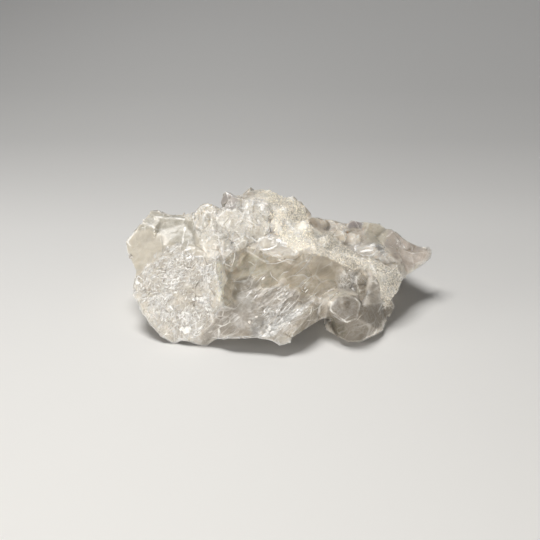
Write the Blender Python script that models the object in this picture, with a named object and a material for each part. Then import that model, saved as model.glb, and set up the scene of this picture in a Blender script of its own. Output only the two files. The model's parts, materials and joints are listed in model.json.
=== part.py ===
"""Quartz cluster: a hand-sized piece of milky rock crystal, broken off its bed.

The cluster is one natural solid. Its front is a set of broken faces, its top and back carry
crystals, and it rests on the lowest corners, which are worn flat.

Frame: metres, +Z up, +X along the cluster, +Y towards the back. The origin is the middle of
the cluster's box at the level of the surface that it rests on.

Working plane: corners of the front are given as (across, up, forward) in millimetres, as seen
from EYE_DISTANCE, square on to a plane that leans back by LEAN. across is +X, up runs up the
leaning plane, and forward comes out of it towards the viewer. display_point turns them into
the part's frame.
"""

import math
import random

import bmesh
import bpy
from mathutils import Matrix, Vector, geometry, noise

MM = 0.001
NODE = "quartz_cluster"

# Driving dimensions, in millimetres.
LEAN = math.radians(30.0)
EYE_DISTANCE = 417.0  # from the eye to the working plane's middle
PLANE_HEIGHT = 15.1  # height of the working plane's middle above the resting surface
BOX_MIDDLE = (0.38, 4.85)  # X and Y of the middle of the cluster's box, before it is centred
CORE_EDGE = 2.8  # longest edge left on a rough part of the front
HIDDEN_EDGE = 6.0  # longest edge left on the hidden side
SMOOTH_EDGE = 9.0  # longest edge left on a smooth part of the core
RIM_DEPTH = 2.6  # how far the hidden side stands behind the outline where it cuts a corner
SEED = 11
RHOMB_SLOPE = math.radians(51.8)  # quartz: from the long axis to the normal of a tip face

# The outline of the core as seen from the front, clockwise from its left end.
OUTLINE = [
    # left block, up its side and along its top
    (-49.6, 5.4, -1.0), (-50.0, 8.7, -3.0), (-47.7, 11.9, -4.0), (-44.8, 15.2, -5.0),
    (-41.8, 19.0, -6.0), (-39.5, 19.2, -6.0), (-36.3, 17.6, -5.0), (-31.4, 17.6, -4.0),
    (-27.5, 18.4, -3.0), (-25.2, 21.2, -3.0), (-23.6, 21.4, -3.0), (-19.6, 19.4, -3.0),
    # crest
    (-15.0, 21.4, -4.0), (-12.1, 24.3, -5.0), (-9.2, 25.3, -5.0), (-5.6, 26.0, -5.0),
    (-2.3, 25.2, -5.0), (0.3, 24.0, -5.0), (4.9, 22.5, -6.0), (7.2, 22.0, -6.0),
    (9.0, 19.6, -8.0), (10.2, 17.0, -9.0), (14.0, 16.4, -10.0), (19.0, 15.4, -11.0),
    (22.2, 14.6, -12.0), (27.8, 15.2, -12.0), (33.0, 14.6, -12.0), (35.0, 13.0, -11.0),
    # right end, out to its tip and back underneath
    (36.9, 12.8, -11.0), (40.4, 10.0, -11.0), (43.0, 8.4, -10.5), (45.1, 7.4, -10.0),
    (49.2, 7.0, -10.0), (50.0, 5.6, -9.5), (49.2, 2.8, -9.0), (46.6, 0.8, -8.0),
    (42.2, -1.8, -4.6), (40.1, -3.8, -3.0), (38.9, -7.4, 0.0), (36.6, -10.3, 2.0),
    (34.0, -13.2, 4.0), (31.8, -16.9, 6.5), (28.0, -16.6, 7.0), (21.6, -16.8, 6.0),
    (16.6, -16.8, 7.0),
    # arch, then the lower edge of the front
    (14.0, -16.4, 8.6), (7.8, -20.3, 13.8), (4.2, -22.6, 17.3), (3.8, -24.4, 18.0),
    (0.3, -25.2, 19.0), (-2.6, -23.4, 18.5), (-7.8, -22.8, 18.0), (-15.7, -23.0, 17.0),
    (-20.3, -22.8, 14.4), (-23.9, -25.6, 12.0), (-26.8, -24.9, 12.2), (-31.4, -23.4, 12.4),
    (-34.3, -24.8, 10.8), (-38.2, -22.4, 11.5), (-42.8, -18.0, 10.0), (-43.8, -15.8, 9.5),
    # left block, up its side
    (-45.8, -12.3, 8.0), (-47.5, -9.0, 7.0), (-47.7, -5.0, 6.0), (-46.7, -1.1, 5.0),
    (-47.6, 1.1, 2.0),
]

# Edges between the faces of the front. Each is a run of corners.
CREASES = {
    "broken face, top": [
        (-46.7, -1.1, 5.0), (-42.5, 1.4, 5.5), (-38.2, 6.0, 5.5), (-31.9, 7.4, 6.5),
        (-24.8, 5.2, 8.5), (-20.4, 3.4, 11.0),
    ],
    "broken face, right": [
        (-20.4, 3.4, 11.0), (-20.6, -0.8, 13.0), (-19.9, -4.7, 13.5), (-18.6, -7.0, 13.5),
        (-18.6, -10.3, 14.0), (-22.2, -14.9, 14.5), (-26.8, -21.7, 14.2),
        (-23.9, -25.6, 12.0),
    ],
    "side of the broken face": [
        (-20.4, 3.4, 11.0), (-19.0, 3.6, 8.0), (-17.0, -3.3, 7.5), (-17.4, -7.0, 9.5),
        (-18.6, -10.3, 14.0),
    ],
    "hollow, lower rim": [
        (-18.6, -10.3, 14.0), (-15.4, -13.1, 12.0), (-9.2, -7.9, 9.5), (-4.6, -3.2, 9.0),
        (4.2, -2.4, 9.8),
    ],
    "lens": [(-9.0, 4.6, 3.0), (-6.2, 6.0, 6.5), (-1.0, 7.6, 7.0), (2.6, 6.6, 6.8)],
    "second lens": [(-9.4, 1.4, 4.6), (-4.2, 1.8, 7.4), (4.2, 2.8, 9.2)],
    "lip": [(-7.2, 7.4, 3.4), (-3.2, 10.0, 4.8), (1.0, 10.2, 5.6)],
    "groove": [(-10.2, 6.8, 1.6), (-6.8, 9.4, 1.2), (-4.4, 12.6, 1.0), (-3.0, 16.4, 0.6)],
    "ridge": [
        (-5.6, 24.0, -0.5), (-1.3, 19.1, 2.5), (4.2, 13.9, 4.5), (7.8, 10.1, 6.0),
        (13.1, 6.4, 8.2), (21.9, 4.6, 7.4), (29.4, 2.6, 6.0), (36.9, -1.1, 4.0),
        (39.2, -3.4, 0.0),
    ],
    "end crystal": [(38.6, 7.0, -3.6), (43.4, 5.0, -5.6), (50.0, 5.6, -9.5)],
    "behind the ridge": [
        (5.4, 17.6, -1.6), (10.4, 13.4, -0.4), (14.6, 11.2, 0.6), (21.6, 9.3, 0.4),
        (29.1, 6.4, 0.6), (35.6, 2.4, 0.0),
    ],
    "keel": [
        (10.9, -11.1, 12.0), (10.6, -14.4, 14.0), (8.2, -17.2, 16.2), (4.6, -21.2, 18.8),
        (4.2, -22.6, 17.3),
    ],
    "keel, top": [(10.9, -11.1, 12.0), (14.0, -9.4, 10.8), (18.3, -7.4, 10.0)],
    "window, lower rim": [
        (18.3, -7.4, 10.0), (23.5, -7.6, 9.5), (25.5, -6.0, 9.0), (25.6, -3.1, 8.5),
    ],
    "under the window": [
        (16.7, -10.3, 7.4), (21.6, -9.2, 5.2), (25.8, -9.6, 4.4), (27.8, -7.0, 3.4),
        (27.4, -3.4, 3.8),
    ],
    "hanging blade": [
        (27.4, -3.4, 3.8), (29.1, -4.4, 6.2), (28.4, -11.3, 8.4), (31.8, -16.9, 6.5),
    ],
    "foot wedge": [(-26.8, -21.7, 14.2), (-20.6, -20.6, 15.4), (-20.3, -22.8, 14.4)],
    "left block, ledge": [(-47.7, 11.9, -4.0), (-43.8, 12.6, -1.4), (-37.9, 12.6, 0.6)],
    "left block, arris": [(-37.9, 12.6, 0.6), (-37.6, 7.6, 4.2), (-38.2, 6.0, 5.5)],
    "left block, top": [(-37.9, 12.6, 0.6), (-37.6, 16.4, -3.4), (-36.3, 17.6, -5.0)],
}

# Single corners of the front, inside its faces.
SPOTS = [
    # the broken face bellies a little
    (-41.0, -5.0, 9.0), (-33.0, 0.6, 9.4), (-26.0, -1.6, 12.0), (-40.0, -13.0, 11.2),
    (-32.4, -9.0, 12.4), (-25.6, -11.0, 13.8), (-33.6, -18.4, 13.2),
    # hollow
    (-14.2, 1.6, 4.6), (-12.6, -2.0, 4.8), (-13.6, -7.4, 8.0), (-7.0, -1.2, 5.6),
    (-1.0, 4.2, 5.6), (0.4, 0.2, 5.8),
    # lower face
    (-14.4, -17.0, 15.2), (-8.4, -17.4, 15.6), (-9.6, -12.6, 13.2), (-3.6, -14.2, 14.6),
    (-4.6, -7.7, 10.6), (3.6, -10.3, 12.4), (3.4, -5.6, 10.2), (-1.3, -19.4, 18.2),
    (3.0, -15.4, 16.0),
    # window
    (10.1, 2.1, 9.1), (16.7, -1.1, 9.1), (12.0, -5.6, 10.2), (21.6, -1.6, 8.7),
    (22.6, 1.8, 7.9),
    # under the keel, and the blade
    (13.6, -13.2, 9.6), (33.6, -7.4, 7.0), (31.8, -1.6, 6.4), (31.2, -11.6, 8.0),
    (24.0, -13.4, 4.6),
    # left block
    (-44.6, 6.6, 1.2), (-41.8, 15.8, -3.0), (-31.0, 13.2, 0.8), (-26.5, 9.3, 4.4),
    (-33.4, 10.0, 3.0),
    # rubble below the crest
    (-23.2, 13.4, 4.0), (-18.4, 8.4, 7.2), (-15.0, 12.0, 5.6), (-11.8, 17.6, 3.6),
    (-8.2, 21.6, 1.8), (-19.0, 15.6, 2.8), (-8.8, 12.6, 4.4), (-24.6, 17.8, 1.0),
    # behind the ridge
    (2.6, 20.6, -2.4), (11.0, 15.6, -5.0), (20.0, 12.8, -5.6), (30.0, 11.4, -5.4),
    (37.8, 6.8, -4.6), (40.4, 3.0, -3.8),
]

# The hidden side: (X, Y, Z) in millimetres before the box is centred. The first rows are
# underneath, the later ones go up the back to behind the crest.
BACK_SPOTS = [
    # underneath
    (-41.0, -3.0, 5.5), (-33.0, -9.0, 3.4), (-24.0, -11.0, 3.0), (-14.5, -9.0, 4.6),
    (-3.0, -9.5, 4.4), (6.5, -6.0, 6.4), (17.0, -3.0, 7.0), (27.0, -1.0, 6.6), (34.0, 3.0, 7.2),
    (-38.0, 6.0, 5.2), (-27.0, 5.0, 2.2), (-18.0, 7.0, 3.6), (-6.0, 4.0, 4.2), (4.0, 7.0, 3.4),
    (14.0, 6.0, 5.2), (25.0, 8.0, 4.2), (36.0, 9.5, 7.6),
    # feet
    (-31.0, 17.0, -0.7), (-25.5, 20.5, -0.7), (-22.0, 15.5, -0.7), (-28.5, 21.5, -0.6),
    (10.5, 18.0, -0.7), (15.5, 21.0, -0.7), (18.5, 16.0, -0.7), (13.0, 13.5, -0.6),
    # between the feet
    (-15.0, 18.5, 2.6), (-8.0, 22.5, 3.2), (0.0, 19.0, 2.2), (6.0, 22.0, 2.6),
    (24.0, 17.0, 3.0), (30.0, 15.0, 5.0), (37.5, 15.5, 9.0), (-38.0, 17.0, 5.0),
    # back
    (-43.5, 12.0, 13.0), (-39.0, 20.5, 11.0), (-31.5, 23.5, 8.6), (-24.0, 25.0, 6.0),
    (-16.0, 27.0, 9.5), (-8.5, 26.5, 7.0), (-1.0, 28.0, 9.0), (8.5, 26.5, 8.0),
    (16.5, 26.0, 6.4), (23.5, 23.5, 8.6), (31.0, 21.5, 9.6), (38.5, 18.5, 12.0),
    (44.0, 15.0, 13.2), (47.2, 12.6, 14.2), (43.0, 9.4, 10.2),
    (-36.5, 21.5, 18.5), (-28.0, 25.5, 16.0), (-20.5, 27.5, 18.0), (-12.0, 28.0, 15.0),
    (-4.5, 29.5, 18.5), (3.5, 28.5, 16.0), (11.5, 27.5, 17.0), (20.0, 26.0, 13.5),
    (27.5, 24.0, 14.5), (34.5, 21.0, 15.0),
    (-31.0, 20.5, 22.5), (-23.0, 22.5, 24.5), (-15.5, 24.0, 26.5), (-7.0, 25.5, 28.0),
    (1.0, 26.0, 26.0), (8.5, 24.5, 22.5), (17.0, 24.0, 19.0), (25.0, 23.0, 17.5),
]

# Rough ground: middle (across, up), half sizes, and how far it is thrown up and down.
ROUGH_FRONT = {
    "broken face": ((-32.0, -8.5), (15.5, 17.0), 0.75),
    "rubble": ((-15.0, 15.0), (12.5, 10.5), 0.9),
    "crust": ((14.0, 11.0), (21.0, 9.0), 0.6),
    "shoulder": ((34.0, -0.5), (8.0, 6.0), 0.6),
    "torn lower face": ((3.0, -13.5), (8.5, 8.5), 0.55),
}
ROUGH_BACK = 0.8  # the same, all over the hidden side
CALM_RIM = 4.0  # rough ground of the front calms down within this distance of the outline

# Druse on the hidden side.
DRUSE = {11.0: 6, 9.0: 12, 7.0: 22, 5.0: 34}  # width of a crystal: how many there may be
DRUSE_GAP = 0.42  # least distance between two crystals, as a share of their widths together
DRUSE_REACH = (0.6, 1.1)  # how far a crystal stands out, as a share of its width
DRUSE_FRONT = 10.2  # no druse in front of this Y, before the box is centred
DRUSE_DOWN = -0.2  # no druse where the hidden side's normal points further down than this

# Crystals that show from the front: foot and tip in the working plane, width across the
# prism, turn about its axis in degrees, and how uneven its faces are.
FRONT_CRYSTALS = {
    # rubble of short crystals under the crest
    "rubble_1": ((-22.0, 15.0, -3.0), (-24.4, 17.4, 6.2), 10.5, 10, 0.5),
    "rubble_2": ((-19.0, 8.0, 0.0), (-21.0, 8.2, 10.2), 8.6, 25, 0.5),
    "rubble_3": ((-16.0, 14.0, -2.0), (-16.2, 12.6, 8.0), 10.4, 40, 0.6),
    "rubble_4": ((-9.0, 15.0, -3.0), (-9.4, 14.4, 7.4), 11.0, 5, 0.6),
    "rubble_5": ((-14.0, 20.0, -4.0), (-14.4, 19.4, 4.2), 8.0, 20, 0.5),
    "rubble_6": ((-12.0, 8.6, -1.0), (-14.0, 7.6, 8.2), 6.4, 50, 0.5),
    "rubble_7": ((-1.6, 14.0, -2.0), (0.2, 13.2, 7.0), 5.8, 15, 0.5),
    "rubble_8": ((-6.6, 20.0, -4.0), (-6.0, 21.0, 3.6), 6.6, 35, 0.4),
    # small crystal hanging in front of the hollow
    "tooth": ((-16.6, 9.0, 2.0), (-15.2, 0.9, 8.4), 4.7, 0, 0.3),
    # group under the right end
    "foot_upper": ((22.6, -11.0, -2.0), (20.8, -14.6, 15.4), 12.2, 14, 0.6),
    "foot_lower": ((25.6, -7.0, -9.4), (23.6, -31.0, 10.4), 18.2, 26, 0.25),
    "foot_side": ((33.0, -9.0, -6.0), (35.8, -15.8, -2.0), 6.2, 20, 0.4),
    # right end
    "end_upper": ((35.6, 4.0, -16.0), (38.4, 10.2, -4.6), 9.6, 18, 0.4),
    "end_step": ((41.0, 2.0, -15.0), (43.6, 7.0, -7.0), 5.6, 40, 0.4),
    # along the top
    "grey_tip": ((-13.0, 16.0, -9.0), (-17.6, 25.2, -8.6), 5.6, 10, 0.4),
    "crest_left": ((-10.0, 18.0, -8.0), (-9.2, 26.4, -6.4), 6.0, 40, 0.5),
    "crest_middle": ((-4.0, 18.0, -8.0), (-2.4, 25.6, -4.0), 5.0, 10, 0.5),
    "crest_right": ((3.0, 15.0, -8.0), (4.6, 23.6, -4.8), 6.6, 25, 0.5),
    "crest_end": ((7.0, 14.0, -10.0), (8.4, 20.2, -5.4), 5.0, 50, 0.5),
    "crust_1": ((1.6, 17.0, -3.0), (1.8, 20.0, 2.6), 4.6, 0, 0.5),
    "crust_2": ((8.0, 12.0, -2.0), (8.8, 13.6, 5.6), 5.0, 20, 0.5),
    "crust_3": ((15.0, 7.0, 0.0), (15.4, 9.0, 8.2), 4.6, 45, 0.5),
    "top_1": ((12.0, 11.0, -12.0), (12.6, 16.6, -6.0), 6.2, 0, 0.4),
    "top_2": ((18.0, 8.0, -14.0), (18.0, 15.0, -5.6), 8.2, 30, 0.4),
    "top_3": ((25.0, 8.0, -17.0), (25.4, 15.2, -8.0), 8.0, 12, 0.4),
    "top_4": ((30.4, 7.0, -17.0), (31.0, 14.2, -8.4), 7.0, 45, 0.4),
    "shelf": ((26.0, 6.0, -3.0), (34.0, 5.8, 3.2), 5.4, 0, 0.4),
    "shelf_small": ((19.6, 9.0, -3.0), (20.6, 11.4, 4.0), 4.4, 30, 0.4),
}


def display_point(across, up, forward):
    """A corner of the working plane, in millimetres, as a place in the part's frame."""
    share = 1 - forward / EYE_DISTANCE
    across = across * share
    up = up * share
    y = up * math.sin(LEAN) - forward * math.cos(LEAN)
    z = PLANE_HEIGHT + up * math.cos(LEAN) + forward * math.sin(LEAN)
    return Vector((across - BOX_MIDDLE[0], y - BOX_MIDDLE[1], z)) * MM


def display_forward():
    """The direction that comes out of the working plane."""
    return Vector((0, -math.cos(LEAN), math.sin(LEAN)))


def on_display(point):
    """The reverse of display_point: (across, up, forward) in millimetres."""
    x = point.x / MM + BOX_MIDDLE[0]
    y = point.y / MM + BOX_MIDDLE[1]
    z = point.z / MM - PLANE_HEIGHT
    up = y * math.sin(LEAN) + z * math.cos(LEAN)
    forward = z * math.sin(LEAN) - y * math.cos(LEAN)
    share = 1 - forward / EYE_DISTANCE
    return Vector((x / share, up / share, forward))


def outline_gap(across, up):
    """How far inside the outline a place of the working plane lies. Outside, it is below 0."""
    place = Vector((across, up))
    corners = [Vector(corner[:2]) for corner in OUTLINE]
    inside = False
    gap = math.inf
    for start, end in zip(corners, corners[1:] + corners[:1]):
        if (start.y > up) != (end.y > up):
            crossing = start.x + (up - start.y) / (end.y - start.y) * (end.x - start.x)
            inside ^= across < crossing
        share = geometry.intersect_point_line(place, start, end)[1]
        nearest = start.lerp(end, min(max(share, 0.0), 1.0))
        gap = min(gap, (place - nearest).length)
    return gap if inside else -gap


def relief(inner, creases):
    """Triangles over the outline that keep every corner of inner and every crease as an edge."""
    corners = list(OUTLINE)
    number = {corner: i for i, corner in enumerate(corners)}
    for corner in inner + [corner for run in creases for corner in run]:
        if corner not in number:
            number[corner] = len(corners)
            corners.append(corner)
    edges = [(number[a], number[b]) for run in creases for a, b in zip(run, run[1:])]
    flat = [Vector(corner[:2]) for corner in corners]
    made = geometry.delaunay_2d_cdt(flat, edges, [range(len(OUTLINE))], 1, 1e-4)
    sources = made[3]
    if any(not source for source in sources):
        raise ValueError("two creases of the relief cross each other")
    return corners, [[sources[i][0] for i in face] for face in made[2]]


def chords(faces):
    """Edges that cut across the outline from one of its corners to another."""
    found = set()
    for face in faces:
        for start, end in zip(face, face[1:] + face[:1]):
            low, high = sorted((start, end))
            if high < len(OUTLINE) and high - low not in (1, len(OUTLINE) - 1):
                found.add((low, high))
    return sorted(found)


def hidden_relief():
    """The hidden side as a relief. A corner is set deep behind the middle of each chord,
    so that the two sides of the core touch along the outline only."""
    inner = []
    for spot in BACK_SPOTS:
        corner = tuple(on_display(Vector(spot) * MM - Vector((*BOX_MIDDLE, 0)) * MM))
        if outline_gap(corner[0], corner[1]) > 1.0:
            inner.append(corner)
    corners, faces = relief(inner, [])
    while chords(faces):
        for low, high in chords(faces):
            middle = (Vector(OUTLINE[low]) + Vector(OUTLINE[high])) / 2
            inner.append((middle.x, middle.y, middle.z - RIM_DEPTH))
        corners, faces = relief(inner, [])
    return corners, faces


def mesh_object(name, mesh_builder):
    """A new object in the scene, made from a bmesh."""
    mesh = bpy.data.meshes.new(name)
    mesh_builder.to_mesh(mesh)
    mesh_builder.free()
    made = bpy.data.objects.new(name, mesh)
    bpy.context.scene.collection.objects.link(made)
    return made


def core_mesh():
    """The core: the front relief and the hidden side, sewn along the outline."""
    builder = bmesh.new()
    rim = [builder.verts.new(display_point(*corner)) for corner in OUTLINE]
    for corners, faces, hidden in (*relief(SPOTS, list(CREASES.values())), 0), (*hidden_relief(), 1):
        verts = rim + [builder.verts.new(display_point(*c)) for c in corners[len(rim):]]
        for face in faces:
            builder.faces.new([verts[i] for i in face]).material_index = hidden
    bmesh.ops.recalc_face_normals(builder, faces=builder.faces)
    return builder


def roughness_at(place, hidden):
    """How far rough ground is thrown here, in millimetres. Smooth faces give 0."""
    if hidden:
        return ROUGH_BACK
    across, up, _ = on_display(place)
    fade = min(1.0, max(0.0, outline_gap(across, up) / CALM_RIM))
    most = 0.0
    for (middle_x, middle_y), (half_x, half_y), throw in ROUGH_FRONT.values():
        reach = math.hypot((across - middle_x) / half_x, (up - middle_y) / half_y)
        most = max(most, throw * min(1.0, max(0.0, (1.15 - reach) / 0.3)))
    return most * fade


def on_rim(vertex):
    """True where the front meets the hidden side."""
    return len({face.material_index for face in vertex.link_faces}) == 2


def roughen(builder):
    """Splits long edges, more finely on rough ground, and throws the new points about."""
    for _ in range(4):
        long_edges = []
        for edge in builder.edges:
            middle = (edge.verts[0].co + edge.verts[1].co) / 2
            hidden = all(face.material_index for face in edge.link_faces)
            rough = roughness_at(middle, False) > 0.05
            limit = HIDDEN_EDGE if hidden else CORE_EDGE if rough else SMOOTH_EDGE
            if edge.calc_length() > limit * MM:
                long_edges.append(edge)
        if not long_edges:
            break
        bmesh.ops.subdivide_edges(builder, edges=long_edges, cuts=1)
        bmesh.ops.triangulate(builder, faces=builder.faces)
    deep = [f for f in builder.faces if f.material_index and not any(map(on_rim, f.verts))]
    inner = [edge for edge in builder.edges if set(deep).issuperset(edge.link_faces)]
    bmesh.ops.beautify_fill(builder, faces=deep, edges=inner, method="ANGLE")
    builder.normal_update()
    for vertex in builder.verts:
        hidden = all(face.material_index for face in vertex.link_faces)
        throw = 0.0 if on_rim(vertex) else roughness_at(vertex.co, hidden)
        cell = vertex.co / MM + Vector((*BOX_MIDDLE, 0.0))
        lump = noise.noise(cell * 0.22) + 0.6 * noise.noise(cell * 0.6 + Vector((7, 3, 1)))
        vertex.co += vertex.normal * (lump * throw * MM)


def cut(builder, place, normal):
    """Cuts a closed convex mesh by a plane and closes the cut."""
    everything = builder.verts[:] + builder.edges[:] + builder.faces[:]
    done = bmesh.ops.bisect_plane(
        builder, geom=everything, plane_co=place, plane_no=normal, clear_outer=True, dist=1e-7
    )
    edges = [item for item in done["geom_cut"] if isinstance(item, bmesh.types.BMEdge)]
    if edges:
        bmesh.ops.edgeloop_fill(builder, edges=edges)


def crystal_mesh(foot, tip, width, turn, uneven, dice):
    """A quartz crystal: six prism faces, and six tip faces that meet unevenly.

    Each prism face lies about width / 2 from the axis. Each tip face slopes by RHOMB_SLOPE
    and is lifted along the axis by its own amount, so that some faces come out broad and
    their neighbours narrow.
    """
    axis = tip - foot
    length = axis.length
    builder = bmesh.new()
    bmesh.ops.create_cube(builder, size=1.0)
    for vertex in builder.verts:
        vertex.co = Vector((vertex.co.x, vertex.co.y, vertex.co.z / 2 + 0.25)) * 4 * length
        vertex.co.z = max(vertex.co.z, 0.0)
    for side in range(6):
        angle = math.radians(60 * side)
        outward = Vector((math.cos(angle), math.sin(angle), 0))
        reach = width / 2 * (1 + uneven * dice.uniform(-0.4, 0.15))
        cut(builder, outward * reach, outward)
    for side in range(6):
        angle = math.radians(60 * side)
        slope = Vector((
            math.cos(angle) * math.sin(RHOMB_SLOPE),
            math.sin(angle) * math.sin(RHOMB_SLOPE),
            math.cos(RHOMB_SLOPE),
        ))
        lift = width * uneven * dice.choice((0.0, 0.15, 0.5)) * dice.uniform(0.6, 1.0)
        cut(builder, Vector((0, 0, length + lift)), slope)
    place = Matrix.Translation(foot) @ axis.to_track_quat("Z", "Y").to_matrix().to_4x4()
    bmesh.ops.transform(
        builder, matrix=place @ Matrix.Rotation(math.radians(turn), 4, "Z"), verts=builder.verts
    )
    bmesh.ops.recalc_face_normals(builder, faces=builder.faces)
    return builder


def clear_scene():
    for old in list(bpy.data.objects):
        bpy.data.objects.remove(old)


def helper(made, group):
    """Keeps a shape that is only joined to another out of the finished part."""
    bpy.context.scene.collection.objects.unlink(made)
    group.objects.link(made)
    made.hide_render = True
    made.display_type = "WIRE"


def helper_group(name):
    group = bpy.data.collections.new(name)
    bpy.context.scene.collection.children.link(group)
    return group


def hidden_axis(place, normal, width, dice):
    """An axis for a druse crystal here that keeps it out of sight behind the outline."""
    for step in range(5):
        lean = Vector((dice.uniform(-0.4, 0.4), dice.uniform(-0.2, 0.2), 0.55 - 0.25 * step))
        axis = (normal + lean - display_forward() * 0.3 * step).normalized()
        reach = axis * width * dice.uniform(*DRUSE_REACH)
        ends = [on_display(place + reach * share * MM) for share in (0.3, 1.0)]
        if all(outline_gap(end.x, end.y) > width * 0.5 for end in ends):
            return reach
    return None


def grow_hidden_side(core, group, dice):
    """Druse on the top and back: crystals that stand out of the hidden side, well apart."""
    faces = [face for face in core.faces if face.material_index]
    spots = [(face.calc_center_median(), face.normal.copy(), face.index) for face in faces]
    dice.shuffle(spots)
    taken = []
    for width, count in DRUSE.items():
        for place, normal, number in spots:
            clash = any((place - p).length < (width + w) * DRUSE_GAP * MM for p, w in taken)
            front = place.y < (DRUSE_FRONT - BOX_MIDDLE[1]) * MM
            if count == 0 or clash or front or normal.z < DRUSE_DOWN:
                continue
            own_dice = random.Random(number)
            reach = hidden_axis(place, normal, width, own_dice)
            if reach is None:
                continue
            count -= 1
            taken.append((place, width))
            foot = place - reach.normalized() * width * 0.7 * MM
            tip = place + reach * MM
            turn = own_dice.uniform(0, 60)
            shape = crystal_mesh(foot, tip, width * MM, turn, 0.5, own_dice)
            helper(mesh_object(f"druse_{len(taken)}", shape), group)


def resting_block(group):
    """The block that is cut away under the feet, so that they end flat."""
    builder = bmesh.new()
    bmesh.ops.create_cube(builder, size=1.0)
    size = Matrix.Diagonal((200 * MM, 200 * MM, 40 * MM, 1))
    bmesh.ops.transform(
        builder, matrix=Matrix.Translation((0, 0, -20 * MM)) @ size, verts=builder.verts
    )
    block = mesh_object("resting_block", builder)
    helper(block, group)
    return block


def grow_front(group, dice):
    for name, (foot, tip, width, turn, uneven) in FRONT_CRYSTALS.items():
        ends = display_point(*foot), display_point(*tip)
        shape = crystal_mesh(*ends, width * MM, turn, uneven, dice)
        helper(mesh_object(name, shape), group)


def quartz_material():
    material = bpy.data.materials.new("quartz")
    material.use_nodes = True
    shader = material.node_tree.nodes["Principled BSDF"]
    shader.inputs["Base Color"].default_value = (0.80, 0.76, 0.69, 1.0)
    shader.inputs["Roughness"].default_value = 0.25
    shader.inputs["Metallic"].default_value = 0.0
    shader.inputs["IOR"].default_value = 1.54
    return material


def boolean(target, name, operation, operand):
    """Adds an exact Boolean with one object, or with a group of them."""
    modifier = target.modifiers.new(name, "BOOLEAN")
    modifier.operation = operation
    modifier.solver = "EXACT"
    if isinstance(operand, bpy.types.Collection):
        modifier.operand_type = "COLLECTION"
        modifier.collection = operand
    else:
        modifier.object = operand


def shells(builder):
    """The separate closed surfaces of a mesh, each as a list of its faces."""
    left = set(builder.faces)
    found = []
    while left:
        shell = [left.pop()]
        for face in shell:
            for edge in face.edges:
                for neighbour in edge.link_faces:
                    if neighbour in left:
                        left.remove(neighbour)
                        shell.append(neighbour)
        found.append(shell)
    return found


def set_modifiers(target):
    """Puts the result of the modifiers into the mesh, without the voids shut inside it."""
    view = bpy.context.evaluated_depsgraph_get()
    builder = bmesh.new()
    builder.from_object(target, view)
    bmesh.ops.triangulate(builder, faces=builder.faces)
    inner = sorted(shells(builder), key=len)[:-1]
    voids = {vertex for shell in inner for face in shell for vertex in face.verts}
    bmesh.ops.delete(builder, geom=list(voids), context="VERTS")
    target.modifiers.clear()
    builder.to_mesh(target.data)
    builder.free()


def build():
    clear_scene()
    dice = random.Random(SEED)
    grown = helper_group("grown_crystals")
    cut_away = helper_group("cut_away")
    grow_front(grown, dice)
    shape = core_mesh()
    roughen(shape)
    grow_hidden_side(shape, grown, dice)
    for face in shape.faces:
        face.material_index = 0
    cluster = mesh_object(NODE, shape)
    cluster.data.materials.append(quartz_material())
    boolean(cluster, "grow together", "UNION", grown)
    boolean(cluster, "rest flat", "DIFFERENCE", resting_block(cut_away))
    set_modifiers(cluster)


build()
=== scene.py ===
# %% [markdown]
# # A quartz cluster on a studio sweep
# The object is one hand-sized piece of rock crystal, broken off its bed. Its solid form is
# already built, and this lesson gives it its finish: chipped faces, a sugary crust, clear
# and cloudy zones, and glints. Everything is in metres, in the frame of the built solid.

# %% Open the built solid
import json
import math

import bmesh
import bpy
import numpy as np
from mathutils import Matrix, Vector
from mathutils.bvhtree import BVHTree

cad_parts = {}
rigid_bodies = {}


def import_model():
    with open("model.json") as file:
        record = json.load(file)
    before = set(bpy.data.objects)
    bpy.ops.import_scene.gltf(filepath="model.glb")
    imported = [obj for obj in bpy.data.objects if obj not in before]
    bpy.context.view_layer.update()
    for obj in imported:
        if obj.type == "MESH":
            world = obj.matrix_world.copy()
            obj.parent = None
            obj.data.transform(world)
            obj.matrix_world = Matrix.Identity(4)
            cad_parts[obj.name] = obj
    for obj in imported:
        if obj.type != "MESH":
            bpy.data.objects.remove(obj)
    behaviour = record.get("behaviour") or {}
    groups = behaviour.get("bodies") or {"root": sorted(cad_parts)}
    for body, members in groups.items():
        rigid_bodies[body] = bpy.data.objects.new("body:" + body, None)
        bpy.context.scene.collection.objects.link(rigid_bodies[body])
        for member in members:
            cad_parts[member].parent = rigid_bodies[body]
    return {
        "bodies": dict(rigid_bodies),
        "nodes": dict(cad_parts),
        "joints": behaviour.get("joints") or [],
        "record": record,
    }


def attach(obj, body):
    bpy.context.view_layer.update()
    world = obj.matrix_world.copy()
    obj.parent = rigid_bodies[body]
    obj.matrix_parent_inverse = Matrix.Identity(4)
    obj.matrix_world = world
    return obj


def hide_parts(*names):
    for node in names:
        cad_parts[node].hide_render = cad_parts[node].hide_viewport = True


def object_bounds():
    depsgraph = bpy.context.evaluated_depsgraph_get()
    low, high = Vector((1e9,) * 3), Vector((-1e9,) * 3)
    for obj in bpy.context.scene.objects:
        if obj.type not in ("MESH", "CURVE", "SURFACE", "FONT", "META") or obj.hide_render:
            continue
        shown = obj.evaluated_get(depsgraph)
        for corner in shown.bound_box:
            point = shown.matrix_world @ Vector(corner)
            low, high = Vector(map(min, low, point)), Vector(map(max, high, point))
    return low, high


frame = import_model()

NODE = "quartz_cluster"
MM = 0.001
cad_low, cad_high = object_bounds()
print("box of the solid, mm:", [round((h - l) / MM, 1) for l, h in zip(cad_low, cad_high)])

# %% [markdown]
# ## A plane to point on
# The front of the cluster is a wall of broken faces that leans back. It's easiest to say
# where a finish belongs on a plane that leans with it: `across` runs to the right, `up` runs
# up the plane and `forward` comes out of it. The eye stands 417 mm in front of the plane, so
# a point that comes forward looks larger, and both ways of turning one into the other carry
# that scale.

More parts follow.
